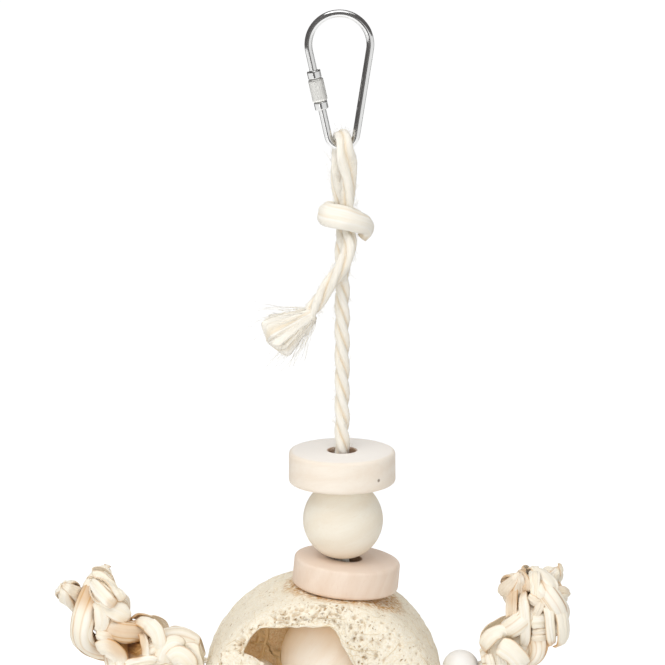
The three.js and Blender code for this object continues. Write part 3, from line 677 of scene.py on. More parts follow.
def rope_pieces():
    over = loop_route()
    reach = distances(over)
    past_top = reach - reach[-1] / 2
    spread_out = 0.05 * np.exp(-(past_top / 5) ** 2) + 0.45 * np.exp(-((past_top - 10.5) / 4.5) ** 2)
    pulled = 1 - 0.15 * (1 - ease(np.minimum(reach, reach[-1] - reach), 1, 9))
    pressed = 0.35 * spread_out + 0.07 * np.exp(-(past_top / 8) ** 2)
    loop = laid_strands(over, ROPE, 90, pulled * (1 + spread_out), pulled * (1 - pressed), turn=0.6)
    add_rope("rope_loop_laid", loop, ["rope_loop"])

    stem = stem_route()
    drop = distances(stem)
    slim = 1 - 0.24 * (1 - ease(drop, 2, 9)) - 0.2 * ease(drop, drop[-1] - 12, drop[-1] - 8)
    stem_piece = add_rope("rope_stem_laid", laid_strands(stem, ROPE, 25, slim, slim, turn=0.2), ["rope_stem"])

    tail = tail_route()
    run = distances(tail)
    slack = 1 - 0.2 * (1 - ease(run, 1, 8))
    laid = laid_strands(tail, ROPE, 34, slack, slack, turn=1.4)
    tail_piece = add_rope("rope_tail_laid", laid, ["rope_tail"])
    heart, brush = add_brush("tail_brush", tail[-1], (-0.83, 0.06, -0.55), (2.6, 15.5, 2.1), (2.6, 18.5, 0.6))
    add_brush("end_brush", stem[-1], (0.05, 0, -1), (2.3, 16.5, 1.2), (2.2, 20.0, 0.32))

    fuzz = [stray_fibres(over, 420, 4.5), stray_fibres(stem[: len(stem) // 2], 420, 3.6),
            stray_fibres(tail, 240, 4.5)]
    lines, radii = (np.vstack(some) for some in zip(*fuzz))
    clear_of_link = ~np.any((lines[:, :, 0] < -2.5) & (lines[:, :, 2] > -41), axis=1)
    add_threads("rope_fuzz", lines[clear_of_link], radii[clear_of_link], hair, "rope", "rope_fibre")


def stop_route(centre):
    """Turns of rope round the stem's low end, tucked in at both of their ends."""
    radius, slope = 4.2, math.radians(8)
    share = np.linspace(0, 1, 60)
    angle = TURN * np.linspace(0.9, -0.75, 60)
    x, y = radius * np.cos(angle), -radius * np.sin(angle)
    z = 2.0 - 3.6 * share - math.tan(slope) * x
    inward = 1 - 0.4 * np.maximum(ease(share, 0.86, 1.0), 1 - ease(share, 0.0, 0.14))
    return even_route(centre + np.stack([x * inward, y * inward, z], axis=1), 0.5)


def knot_pieces():
    turn_points = [
        (6.4, 4.0, -64.6), (2.4, 5.6, -63.6), (-2.2, 4.6, -62.7), (-4.1, 0.4, -62.3), (-2.3, -4.2, -62.2),
        (1.6, -5.7, -62.8), (5.8, -4.7, -64.2), (8.6, -1.6, -66.0), (8.9, 1.0, -68.6), (7.4, 1.2, -70.6),
    ]
    band = smooth_route(turn_points, 0.45)
    share = np.linspace(0, 1, len(band))
    stations = [0, 0.3, 0.62, 0.8, 0.92, 1]
    tall = np.interp(share, stations, [2.4, 3.7, 3.8, 3.1, 2.4, 1.7])
    thick = np.interp(share, stations, [1.9, 2.5, 2.5, 2.4, 2.1, 1.6])
    add_rope("rope_knot_wrap", soft_bundle(band, tall, thick, (0.75, 0.66, 0)), ["rope_knot"])
    centre = on_lean(-52.7, 0)
    stop = stop_route(centre)
    outward = unit((stop[0] - centre) * [1, 1, 0])
    add_rope("stop_knot_wrap", laid_strands(stop, ROPE * 0.92, 30, 1.05, 1.05 * 0.9, outward), ["stop_knot"])


rope_pieces()
knot_pieces()


# Quick link and sleeve nut
def link_route():
    """The wire's line from one side of the gate to the other, the sleeve's middle and its way down."""
    height, bow, foot_bend = 45, 9.75, 4.5
    gate_top, gate_bottom, sleeve_at = 8.3, 13.8, 12.6
    bow_z = WIRE / 2 - bow
    foot_z = WIRE - height + WIRE / 2 + foot_bend
    slope = math.asin((bow - foot_bend) / (bow_z - foot_z))
    over = np.linspace(math.pi + slope, -slope, 90)
    under = np.linspace(-slope, -math.pi + slope, 50)
    top = np.stack([bow * np.cos(over), 0 * over, bow_z + bow * np.sin(over)], axis=1)
    low = np.stack([foot_bend * np.cos(under), 0 * under, foot_z + foot_bend * np.sin(under)], axis=1)
    down = np.array([math.sin(slope), 0, -math.cos(slope)])
    line = even_route(np.vstack([top[0] + down * gate_top, top, low, top[0] + down * gate_bottom]), 0.45)
    lean = math.radians(1.8)
    spin = np.array([[math.cos(lean), 0, -math.sin(lean)], [0, 1, 0], [math.sin(lean), 0, math.cos(lean)]])
    return line @ spin.T, (top[0] + down * sleeve_at) @ spin.T, down @ spin.T


def sleeve_shape(heights, radii, centre, down):
    """A ring round the wire from radii for (height, bearing), closed along its bore."""
    side = np.array([0, 1.0, 0])
    other = np.cross(down, side)
    ring = full_turn(radii.shape[1])
    heights = np.concatenate([heights, heights[[-1, 0]]])
    radii = np.vstack([radii, np.full((2, len(ring)), 1.5)])
    rings = (
        centre
        + down * heights[:, None, None]
        + side * (radii * np.cos(ring))[..., None]
        + other * (radii * np.sin(ring))[..., None]
    )
    return shape_of(rings, hoop_faces)


def link_pieces():
    route, sleeve, down = link_route()
    ring = full_turn(20)
    wire = swept(route, frames_along(route), (WIRE / 2 * np.cos(ring), WIRE / 2 * np.sin(ring)))
    new_piece("link_wire", shape_of(wire, tube_faces), bright_steel, "link", "link_steel", ["quick_link"])

    collar = np.array([
        (3.5, 2.0), (3.86, 2.0), (3.9, 2.1), (4.0, 2.18), (4.08, 2.2), (4.14, 2.2), (5.86, 2.2),
        (5.92, 2.2), (6.1, 2.17), (6.24, 2.08), (6.3, 1.92), (6.3, 1.86), (6.3, 1.5),
    ])
    ends = np.vstack([collar[::-1] * [-1, 1], collar])
    collars = sleeve_shape(ends[:, 0], np.repeat(ends[:, 1:], 48, axis=1), sleeve, down)
    new_piece("sleeve_collars", collars, bright_steel, "sleeve", "link_steel", ["sleeve_nut"])

    grip_half, grip_radius = 3.55, 2.38
    heights = np.linspace(-grip_half, grip_half, 44)
    flutes = 0.045 * np.cos(24 * full_turn(120) + 0.25 * heights[:, None])
    soft = ease(grip_half - np.abs(heights), 0, 0.5)[:, None]
    grip = sleeve_shape(heights, (grip_radius + flutes) * (0.93 + 0.07 * soft), sleeve, down)
    new_piece("sleeve_grip", grip, frosted_steel, "sleeve", "sleeve_steel")


link_pieces()


# Turned wood and beads
def turned(radii, heights, **marks):
    """A ring turned about +Z from a closed outline: radii for (row, bearing) and heights."""
    ring = full_turn(radii.shape[1])
    rings = np.stack([radii * np.cos(ring), radii * np.sin(ring), heights[:, None] + 0 * radii], axis=-1)
    return shape_of(rings, hoop_faces, **marks)


def rounded(corners, steps=6):
    """An outline with each corner (radius, height, rounding, bore mark) eased by an arc."""
    made = []
    for i, (r, h, soft, bore) in enumerate(corners):
        here = np.array([r, h])
        before = here + soft * unit(np.array(corners[i - 1][:2]) - here)
        after = here + soft * unit(np.array(corners[(i + 1) % len(corners)][:2]) - here)
        for t in np.linspace(0, 1, steps if soft else 1):
            made.append((*((1 - t) ** 2 * before + 2 * t * (1 - t) * here + t ** 2 * after), bore))
    return made


def placed(points, centre, up, spin=0.0):
    up = unit(np.asarray(up, float))
    side = unit(np.cross([0, 1, 0], up))
    other = np.cross(up, side)
    c, s = math.cos(spin), math.sin(spin)
    x = points[:, 0] * c - points[:, 1] * s
    y = points[:, 0] * s + points[:, 1] * c
    return centre + np.outer(x, side) + np.outer(y, other) + np.outer(points[:, 2], up)


def add_turned(body, outline, segments, centre, up, finish, slot, seed, grain_size, depth, face=None):
    """A piece turned from (radius, height, bore mark) rows and sanded a little uneven by hand."""
    outline = np.array(outline)
    radii = np.repeat(outline[:, :1], segments, axis=1)
    points, faces, marks = turned(radii, outline[:, 1], bore=outline[:, 2:])
    if face:
        marks["face"] = face(points)
    stray = noise_at(points / grain_size + [seed, 0, 0])
    points = points + unit(points * [1, 1, 0]) * (stray * depth)[:, None]
    shape = placed(points, centre, up, seed), faces, marks
    new_piece(f"{body}_turned", shape, finish, body, slot, [body])


def add_disc(body, centre, up, half, finish, seed):
    lower = [(WOOD_BORE, -half, 0.5, 1), (5.2, -half, 0, 0), (11, -half, 0, 0), (DISC_RADIUS, -half, 1.4, 0)]
    upper = [(r, -h, soft, bore) for r, h, soft, bore in lower[::-1]]
    bore = [(WOOD_BORE, h, 1) for h in np.linspace(half - 1.2, 1.2 - half, 5)]

    def flat_face(points):
        across = np.hypot(points[:, 0], points[:, 1])
        on_top = np.abs(points[:, 2]) > half - 0.3
        return on_top * ease(across, 4.6, 5.2) * (1 - ease(across, 15.5, 17.0))

    outline = rounded(lower + upper) + bore
    add_turned(body, outline, 96, centre, up, finish, "disc_wood", seed, 9.0, 0.14, flat_face)


def add_ball(body, centre, up, radius, bore, finish, slot, seed, segments):
    rim = math.asin(bore / radius) + 0.05
    outline = [(radius * math.sin(a), -radius * math.cos(a), 0)
               for a in np.linspace(rim, math.pi - rim, segments // 2)]
    top = outline[-1][1]
    soft = 0.06 * radius
    outline.append((bore + 0.25 * soft, top + 0.1 * soft, 0.5))
    outline += [(bore, h, 1) for h in np.linspace(top - soft, -top + soft, 6)]
    outline.append((bore + 0.25 * soft, -top - 0.1 * soft, 0.5))
    add_turned(body, outline, segments, centre, up, finish, slot, seed, 10.0, 0.1)


def wooden_pieces():
    upright = (0, 0, 1)
    add_disc("upper_disc", np.array([ROPE_X, 0, -145.308]), upright, 5.3, disc_wood, 0.4)
    add_disc("lower_disc", on_lean(DISC_UP, LOWER_DISC_SHIFT), LEAN_UP, 4.7, pink_wood, 2.1)
    add_disc("bottom_disc", on_lean(-DISC_UP, 0), LEAN_UP, 4.7, pink_wood, 3.7)
    for body, centre, up, radius, finish, seed in (
        ("upper_ball", np.array([1.5, 0, -163.104]), upright, 13, ball_wood, 1.3),
        ("inner_ball_upper", on_lean(INNER_BALL_UP, 0), LEAN_UP, 15, brightened_inner_wood, 2.6),
        ("inner_ball_lower", on_lean(-INNER_BALL_UP, 0), LEAN_UP, 15, brightened_inner_wood, 4.9),
    ):
        add_ball(body, centre, up, radius, WOOD_BORE, finish, "ball_wood", seed, 72)
    for body, centre, up, seed in (
        ("right_bead", np.array([40.005, 0, -213.523]), (0.9763, 0, 0.21644), 0.8),
        ("left_bead", np.array([-26.112, 0, -216.641]), (-0.95106, 0, 0.30902), 5.2),
    ):
        add_ball(body, centre, up, 6, 1.5, white_bead, "bead_white", seed, 48)


wooden_pieces()


# Corn-husk plaits, their cords and anchor knots: which way each goes out, its rise in degrees, where it
# starts and its knot lies on the way out, and its bends in strand thicknesses
PLAITS = {
    "right": {"sign": 1, "rise": 12.5, "start": 56.298, "anchor": 26.5,
              "bends": [(1.67, 0.98), (2.12, 2.27), (2.17, 4.47)]},
    "left": {"sign": -1, "rise": 18.0, "start": 43.998, "anchor": 13.7,
             "bends": [(-2.58, 0.03), (-3.94, 0.91), (-4.85, 2.39), (-5.24, 3.94)]},
}

# Leaf strips on each plait's front: how brown they are, as crease colour and painted shade, then points on
# the middle line with half widths
RIGHT_RIBBONS = [
    (0, (59.3, -6, -185.2, 1.0), (59.8, -8.2, -189.6, 1.9), (60.3, -8.4, -195.3, 2.0),
     (60.5, -6.5, -202, 1.7), (59.7, -4.5, -206, 1.2)),
    (0.2, (57.3, -1.5, -180.3, 0.7), (55.2, -3.5, -186, 1), (54.8, -4.2, -192.5, 1),
     (55.7, -4.5, -198.5, 1), (57.1, -3.8, -202.8, 0.8)),
    (0.28, (58.2, -3, -180.4, 0.7), (56.1, -5.2, -185.5, 0.9), (55.7, -6, -192, 0.9),
     (56.5, -6, -198.7, 0.9), (57.7, -5, -203.1, 0.7)),
    (0.3, (59.5, -4, -180.8, 0.7), (57.3, -6.2, -184.5, 0.85), (56.8, -7, -190, 0.85),
     (57.3, -7.2, -195.7, 0.85), (58.1, -6.2, -201.4, 0.7)),
    (0.32, (57.7, -1, -181, 1.4), (59.2, -4, -181.2, 1.9), (60.6, -6, -183.2, 1.8),
     (61, -6.2, -186.2, 1.3)),
    (0, (62.5, -1.5, -179.8, 0.7), (62.5, -5.5, -181, 0.8), (62.7, -6.8, -185, 0.8),
     (63, -6.6, -188.4, 0.7)),
    (0.05, (64.2, -1.5, -179.6, 1.1), (64.1, -5.8, -180.9, 1.3), (63.9, -7, -184.9, 1.3),
     (63.6, -6.6, -189.1, 1)),
    (0, (65.5, -0.5, -180.6, 1.8), (67.1, -4.5, -182, 2.3), (68, -6.5, -185.7, 2.3),
     (67.2, -6.8, -189.4, 1.8)),
    (0.05, (67, -6.8, -190.7, 1.3), (69.4, -6.8, -189, 1.6), (72.5, -5, -188.4, 1.6),
     (75.3, -1, -189.1, 1.2)),
    (0.2, (67.9, -5, -186.9, 1.3), (70.5, -5, -185.7, 1.5), (73.2, -3.5, -186.3, 1.5),
     (75.7, 0.5, -188.5, 1.2)),
    (0.15, (60.9, -6, -186.9, 1.3), (62.6, -7.4, -188.2, 1.6), (64.5, -7.6, -189.1, 1.6),
     (66.3, -7, -188.3, 1.3)),
    (0.12, (65.5, -7.6, -188.1, 1.3), (65, -8, -190.3, 1.5), (63.9, -7.6, -192.8, 1.5),
     (62.6, -6.4, -194.2, 1.2)),
    (0, (61.6, -6.2, -195.5, 2.3), (63.5, -7.6, -195.3, 2.7), (65.3, -7.6, -195.3, 2.7),
     (67.8, -6.2, -195.2, 2.3)),
    (0, (66.8, -6.8, -188.7, 1.3), (68.1, -8.2, -192, 1.7), (68.6, -8.4, -196.3, 1.8),
     (69.3, -7.2, -201.7, 1.6), (69.8, -5, -205.2, 1.1)),
    (0, (70.5, -5.5, -189.4, 1.8), (72.1, -6.8, -192.4, 2.4), (73.1, -7, -196.7, 2.6),
     (73.2, -6, -201.4, 2.4), (71.8, -4.5, -206, 1.6)),
    (0.12, (62, -6, -199.3, 1), (64, -7.2, -199.2, 1.1), (66, -7.2, -198.9, 1.1), (68.5, -5.8, -199.2, 1)),
    (0.12, (61.9, -6, -201.3, 1), (64.1, -7.2, -201.2, 1.1), (66, -7.2, -201, 1.1),
     (68.5, -5.8, -201.2, 1)),
    (0, (46.1, -3.5, -206.7, 1.7), (47.8, -6, -202.5, 2.4), (50.4, -7.2, -199.5, 2.6),
     (53.3, -7, -198.8, 2.4), (56.4, -5.6, -201.2, 1.7)),
    (0, (51.1, -8, -203.2, 2.6), (54.3, -9.6, -204, 3.5), (57.5, -10, -206.6, 3.6),
     (60.5, -8.6, -211.1, 2.6)),
    (0.05, (48.3, -5.6, -206.3, 1.2), (49.2, -7.6, -208.7, 1.6), (50.2, -7.6, -212.8, 1.3)),
]
LEFT_RIBBONS = [
    (0, (-80.7, -1.5, -182.9, 2.4), (-77.6, -4, -182.4, 3.0), (-74.6, -5.5, -184.2, 2.8),
     (-71.1, -4.5, -187.7, 1.6)),
    (0.35, (-78.9, -5, -188.9, 1.2), (-75.2, -6.2, -188, 1.4), (-71.1, -5, -188.2, 1.0)),
    (0, (-78.2, -5.6, -190.1, 2.4), (-74.5, -7.6, -190.5, 3.2), (-71, -7.6, -192, 3.2),
     (-66.9, -5.8, -195.7, 2.0)),
    (0, (-79.2, -4.5, -188.4, 1.8), (-76.8, -7.8, -191.1, 2.5), (-76.5, -8.2, -195.3, 2.5),
     (-78, -6.4, -200.3, 1.9)),
    (0.35, (-75.3, -6.4, -194.9, 1.5), (-72.4, -7, -195.7, 2.0), (-69.5, -7, -197.4, 2.1),
     (-64.9, -5.8, -200.5, 1.5)),
    (0, (-66.7, -4.5, -195.5, 1.6), (-62.1, -6.4, -196.2, 2.6), (-59.1, -7.4, -199, 2.8),
     (-58.2, -7.6, -202.6, 2.5), (-59.1, -6.2, -206.8, 1.5)),
    (0, (-63.8, -6.8, -198.8, 1.0), (-62.9, -8.2, -202.1, 1.4), (-62.5, -8.4, -205.4, 1.4),
     (-62.6, -7.4, -209.1, 1.1)),
    (0, (-58, -6.5, -210.5, 2.4), (-55.9, -7.6, -205, 3.3), (-53, -7.8, -203.1, 3.3),
     (-50.1, -6.4, -205.4, 2.2)),
    (0, (-50.8, -5.2, -205.4, 1.8), (-47.2, -6.6, -205.3, 2.7), (-45, -6.8, -208, 2.7),
     (-44.1, -5.6, -212.1, 1.9)),
    (0, (-55.3, -8.6, -208.8, 2.4), (-52, -9.6, -206.4, 3.5), (-49.1, -9.2, -208.9, 3.4),
     (-47.9, -7.8, -213.1, 2.2)),
    (0.05, (-79.3, -6.4, -199.6, 1.5), (-76.4, -8, -200.5, 2.1), (-73.4, -7.8, -200.7, 2.1),
     (-70.5, -6.2, -200, 1.5)),
    (0.05, (-79, -6.8, -205.6, 2.2), (-75.3, -8.4, -204.1, 3.2), (-71.8, -8.6, -206.4, 3.2),
     (-70.5, -7.2, -210.9, 2.2)),
    (0, (-70.3, -7.8, -210.4, 1.2), (-65.6, -8.8, -208.9, 1.7), (-60.8, -8.2, -208.2, 1.7),
     (-58, -7, -209.3, 1.2)),
]
LEAF_RIBBONS = {"right": RIGHT_RIBBONS, "left": LEFT_RIBBONS}

# Where leaves turn into the plait's recesses and take painted shade: across, up, radius and how dark
SHADED_FOLDS = {
    "right": [(56.2, -184.8, 6.4, 0.2), (69.6, -205, 3.8, 0.45), (45.9, -206.2, 2.8, 0.45)],
    "left": [(-68.6, -201, 8.6, 0.5), (-66.2, -204.5, 4.2, 0.75), (-73, -188.3, 2.6, 0.3)],
}


def with_fold_shade(side, shape):
    """The shape with painted shade added to its fold mark round each recess of the plait."""
    points, faces, marks = shape
    brown_and_shade = np.zeros(len(points))
    for x, z, radius, tone in SHADED_FOLDS[side]:
        away = np.hypot(points[:, 0] - x, points[:, 2] - z)
        brown_and_shade = np.maximum(brown_and_shade, tone * (1 - ease(away, 0.5 * radius, radius)))
    return points, faces, {**marks, "fold": np.clip(marks["fold"] + brown_and_shade, 0, 0.92)}


def add_husk(side, name, shape, stands_for=()):
    new_piece(f"{side}_husk_{name}", shape, husk_leaf, f"{side}_arm", "corn_husk", stands_for)


def outward_of(side):
    angle = math.radians(PLAITS[side]["rise"])
    return np.array([PLAITS[side]["sign"] * math.cos(angle), 0, math.sin(angle)])


def plait_line(side):
    outward = outward_of(side)
    start = LOOFAH + outward * PLAITS[side]["start"]
    bends = [start + np.array([x, 0, z]) * STRAND for x, z in PLAITS[side]["bends"]]
    return smooth_route([start, start + outward * 6, *bends], 0.55)


def flat_ways(route):
    """The directions across a flat-lying strand and through it."""
    tangents = headings(route)
    across_way = unit(np.cross(tangents, [0, 1, 0]))
    return across_way, np.cross(across_way, tangents)


def nearest_of(core, points):
    """The place on a plait's middle line behind each point, as seen from the front."""
    return core[np.argmin(np.linalg.norm((points[:, None] - core[None]) * [1, 0, 1], axis=2), axis=1)]


def strand_route(line, number):
    """One strand's middle line, its share of opening and its turn in the plait."""
    bound, open_swing, open_weave, pitch = 3.6, 7.59, 6.006, 50.03
    sideways = np.cross(headings(line), [0, 1, 0])
    woven = np.maximum(distances(line) - 7.2, 0)
    turn = math.pi / 6 + TURN * (number / 3 + woven / pitch)
    opened = ease(woven, 0, 12.012)
    swing = (bound + (open_swing - bound) * opened) * np.sin(turn)
    route = line + sideways * swing[:, None]
    route[:, 1] += (bound + (open_weave - bound) * opened) * np.sin(2 * turn)
    return route, opened, turn


def two_sided(outer, inner):
    """Rings across a strip and back along its under side."""
    return np.concatenate([outer, inner[:, ::-1]], axis=1)


def leaf_strip(route, ways, halves, middle, span, lift, seed, core=None, skin=0.24, columns=23):
    """A leaf wrapped over part of a strand's oval section, ribbed and thin, as a closed strip."""
    half_wide, half_thick = (half[:, None] for half in halves)
    least = np.minimum(half_wide, half_thick)
    reach = distances(route)
    v = np.linspace(-1, 1, columns)
    wander = noise_at([(s * 0.06, seed * 3.7, 0) for s in reach])[:, None]
    closing = 1 + 0.9 * (1 - ease(least, 0.2, 1.8))
    angle = middle + 0.35 * wander + 0.5 * span * closing * v
    out_w, out_t = np.cos(angle), np.sin(angle)
    flare = 1 + lift * np.abs(v) ** 5
    pleats = np.cos((9 + seed % 5) * v + seed)
    wrinkle = noise_grid(reach, v, lambda s, edge: (s * 0.12, edge * 1.5, seed * 5.3))
    raised = (0.1 * pleats + 0.55 * wrinkle) * ease(least, 0.1, 1.6)
    outward = unit(swept(0 * route, ways, (out_w / half_wide, out_t / half_thick)))
    outer = swept(route, ways, (half_wide * flare * out_w, half_thick * flare * out_t))
    outer = outer + outward * raised[..., None]
    # Painted shade with the crease colour: at the leaf's edges, in its pleats' troughs and, below, where it
    # lies deep by the plait's middle line.
    crease_and_shade = 0.5 * ease(np.abs(v), 0.92, 1.0) + 0.32 * ease(-pleats, 0.8, 1.0) + np.zeros_like(angle)
    if core is not None:
        depth = np.min(np.linalg.norm(outer[:, :, None, :] - core[None, None, ::3], axis=3), axis=2)
        crease_and_shade = crease_and_shade + 0.55 * (1 - ease(depth, 4.5, 9.5))
    return shape_of(
        two_sided(outer, outer - outward * skin), tube_faces,
        # The under side takes a fixed share of painted shade.
        fold=np.concatenate([np.clip(crease_and_shade, 0, 0.9), np.full(angle.shape, 0.35)], axis=1),
        across=np.concatenate([v, v[::-1]]) * (0.25 * span * (half_wide + half_thick)) + seed * 17.0,
        along=reach[:, None],
    )


def strand_core(route, ways, halves):
    ring = full_turn(14)
    wide, thick = (np.maximum(0.84 * half - 0.3, 0.02)[:, None] for half in halves)
    # The core takes a strong share of painted shade.
    return shape_of(
        swept(route, ways, (wide * np.cos(ring), thick * np.sin(ring))), tube_faces, fold=0.75,
        across=np.abs(ring - math.pi) * 3.0, along=distances(route)[:, None],
    )


def add_strand(side, number):
    line = plait_line(side)
    route, opened, turn = strand_route(line, number)
    reach = distances(route)
    tip = np.clip((reach - reach[-1] + 7.5) / 7.52, 0, 1)
    radius = (2.2 + 1.1 * opened) * np.sqrt(1 - tip ** 2)
    ways = flat_ways(route)
    flat = 1 + opened * (0.14 + 0.06 * np.cos(2 * turn))
    halves = (radius * flat, radius * (1 + 0.04 * opened))
    under = [0.95 * half for half in halves]
    seed = number * 2.3 + (11 if side == "left" else 0)
    leaves = [
        leaf_strip(route, ways, halves, -0.5 * math.pi + 0.25, 2.5, 0.03, seed, line),
        leaf_strip(route, ways, halves, 0.5 * math.pi - 0.2, 2.5, 0.03, seed + 1.1, line),
        leaf_strip(route, ways, under, 0.2, 1.9, 0.05, seed + 2.7, line),
        leaf_strip(route, ways, under, math.pi - 0.1, 1.9, 0.05, seed + 4.2, line),
    ]
    shape = with_fold_shade(side, joined([strand_core(route, ways, halves), *leaves]))
    add_husk(side, f"leaf_{number + 1}", shape, [f"{side}_husk_strand_{number + 1}"])


def leaf_ribbon(points, half_widths, brown_and_shade, core, seed):
    """A crowned leaf strip lying over a plait, with its edges turned in."""
    route = smooth_route(points, 0.5)
    share = np.linspace(0, 1, len(route))
    to_end = np.abs(2 * share - 1)[:, None]
    half = np.interp(share, np.linspace(0, 1, len(half_widths)), half_widths)
    half = half * (1 + 0.06 * np.sin(9 * share + seed))
    half = half[:, None] * np.sqrt(1 - 0.8 * ease(to_end, 0.93, 1.0))
    tangents = headings(route)
    outward = (route - nearest_of(core, route)) * [0.75, 1.35, 0.75]
    outward = unit(outward - tangents * np.sum(outward * tangents, axis=1, keepdims=True))
    u = np.linspace(-1, 1, 17)
    crown = 0.26 * half * (1 - u ** 2) - 0.3 * ease(np.abs(u), 0.86, 1.0)
    crease = noise_grid(share, u, lambda s, w: (s * 3.0 * len(route) / 40, w * 1.3, seed * 7.1))
    ribs = 0.07 * np.cos((8 + seed % 5) * u + seed)
    lifted = crown - 1.5 * ease(to_end, 0.72, 1.0) + 0.5 * crease + ribs
    outer = swept(route, (np.cross(tangents, outward), outward), (half * u, lifted))
    inner = outer - outward[:, None, :] * (0.32 + 0.5 * (1 - u ** 2))[None, :, None]
    # Painted shade with the crease colour at the turned-in edges and tucked ends; the under side takes a
    # small fixed share.
    top = np.clip(brown_and_shade + 0.55 * ease(np.abs(u), 0.88, 1.0) + 0.25 * ease(to_end, 0.84, 1.0), 0, 0.8)
    return shape_of(
        two_sided(outer, inner), tube_faces,
        fold=np.concatenate([top, np.full(top.shape, 0.15)], axis=1),
        across=np.concatenate([u, u[::-1]]) * half + seed * 13.0, along=distances(route)[:, None],
    )


# The left plait starts close to the loofah, so its leaves stay at least this far out from its pivot
LEAST_OUT = 0.9


def room_to_swing(along):
    """The half height free of the loofah at a distance out from the left arm's pivot."""
    return 0.35 + 1.5 * np.maximum(along - LEAST_OUT, 0)


def clear_of_loofah(points):
    outward = outward_of("left")
    upward = np.array([-outward[2], 0, outward[0]])
    from_pivot = points - (LOOFAH + outward * ARM_PIVOT)
    along = from_pivot @ outward
    height = from_pivot @ upward
    free = room_to_swing(along)
    out = np.outer(np.maximum(LEAST_OUT - along, 0), outward)
    return points + out + np.outer(np.clip(height, -free, free) - height, upward)


def add_ribbons(side):
    """The broad leaf strips over a plait, on its front and again on its back."""
    core = plait_line(side)
    for face, name in ((1, "front"), (-1, "back")):
        ribbons = []
        for number, (brown_and_shade, *stations) in enumerate(LEAF_RIBBONS[side]):
            places, half_widths = np.array(stations)[:, :3], np.array(stations)[:, 3]
            if name == "back":
                nearest = nearest_of(core, places)
                places = nearest + (places - nearest) * [0.8, -1, 0.8]
            ribbons.append(leaf_ribbon(places, half_widths, brown_and_shade, core, number + 0.37 * face))
        points, faces, marks = with_fold_shade(side, joined(ribbons))
        if side == "left":
            points = clear_of_loofah(points)
        add_husk(side, f"ribbons_{name}", (points, faces, marks))


def add_tips(side):
    """Short pointed leaf ends that close over the plait's far end."""
    line = plait_line(side)
    blades = []
    for number in range(3):
        route, _, _ = strand_route(line, number)
        end = route[-1]
        way = unit(end - route[-8])
        across = unit(np.cross(way, [0, 1, 0]))
        core = np.vstack([route, end + way * 8])
        for blade in range(4):
            turn = 1.1 * number + math.pi * blade / 2
            out = across * math.cos(turn) + np.cross(way, across) * math.sin(turn)
            reach = 1.0 + 1.0 * ((blade + number) % 3)
            stations = [(-11, 3.2), (-7, 3.5), (-3.5, 3.1), (0, 1.9), (reach, 1.2)]
            places = [end + way * along + out * high for along, high in stations]
            blades.append(leaf_ribbon(places, [1.6, 2.4, 2.4, 1.9, 0.9], 0.0, core, number * 4 + blade + 0.5))
    add_husk(side, "tips", with_fold_shade(side, joined(blades)))


def add_cuff(side):
    """Broad leaves folded back over a plait's bound end."""
    outward = outward_of(side)
    line = plait_line(side)
    lead = line[0] + np.outer(np.linspace(-3.0, -0.5, 6), outward)
    route = even_route(np.vstack([lead, line[: 34]]), 0.6)
    share = np.linspace(0, 1, len(route))
    ways = flat_ways(route)
    above, lean = (0.0, 1.0) if side == "right" else (math.pi, -1.0)
    leaves = []
    for middle, span, size, seed in (
        (-0.42, 1.9, 1.0, 3.1), (-1.55, 1.5, 0.93, 5.6), (0.75, 1.9, 0.96, 7.9), (2.0, 1.7, 0.9, 9.4),
        (-2.75, 1.8, 0.92, 12.2),
    ):
        swell = np.interp(share, [0, 0.12, 0.4, 0.7, 1], [4.6, 6.6, 8.2, 7.6, 5.0]) * size
        if side == "left":
            swell = np.minimum(swell, room_to_swing((route - LOOFAH) @ outward - ARM_PIVOT))
        halves = (swell, 0.86 * swell)
        leaves.append(leaf_strip(route, ways, halves, above + lean * middle, span, 0.02, seed, None, 0.3, 25))
    add_husk(side, "cuff", joined(leaves))


def add_band(side):
    """The strip of husk wound round a plait's bound end."""
    half, radius, bore = 2.5, 7.1, 6.2
    outward = outward_of(side)
    heights = np.linspace(-half, half, 15)
    ring = full_turn(80)
    ridge = 0.14 * np.cos(heights * 5.2) + 0.1 * np.sin(heights * 2.1 + 1)
    wave = noise_grid(heights, ring, lambda h, a: (math.cos(a) * 1.5, math.sin(a) * 1.5, h * 0.5))
    outer = radius + ridge[:, None] + 0.28 * wave - 0.35 * ease(np.abs(heights), 2.0, half)[:, None]
    outer = outer + 0.3 * ease(np.cos(ring - 1.9), 0.2, 0.26)
    radii = np.concatenate([outer, np.full((2, len(ring)), bore)])
    level = np.concatenate([heights, heights[[-1, 0]]])
    # Painted shade at the band's upper and lower edges, where it meets the plait.
    edge = 0.5 * ease(np.abs(level), 2.1, half)[:, None]
    points, faces, marks = turned(radii, level, fold=edge, across=level[:, None], along=ring * 7.0)
    centre = LOOFAH + outward * (PLAITS[side]["start"] + 2.8)
    add_husk(side, "wrap", (placed(points, centre, outward), faces, marks), [f"{side}_husk_band"])


def add_arm_cord(side):
    outward = outward_of(side)
    knot = PLAITS[side]["anchor"]

    def cord(near, far):
        route = even_route(LOOFAH + np.outer(np.linspace(near, far, 40), outward), 0.4)
        return laid_strands(route, CORD, 8.0, sides=10)

    laid = cord(ARM_PIVOT, PLAITS[side]["start"] + 5)
    add_rope(f"{side}_cord_laid", laid, [f"{side}_cord"], f"{side}_arm")
    t = np.linspace(0, TURN, 90)
    trefoil = [np.sin(t) + 2 * np.sin(2 * t), np.cos(t) - 2 * np.cos(2 * t), -1.4 * np.sin(3 * t)]
    tied = placed(np.stack(trefoil, axis=1) * 0.5, LOOFAH + outward * knot, outward)
    tied = laid_strands(even_route(tied, 0.35), 1.5, 8.0, sides=10)
    add_rope(f"{side}_anchor_tied", joined([tied, cord(knot, ANCHOR_END)]), [f"{side}_anchor"], "loofah")


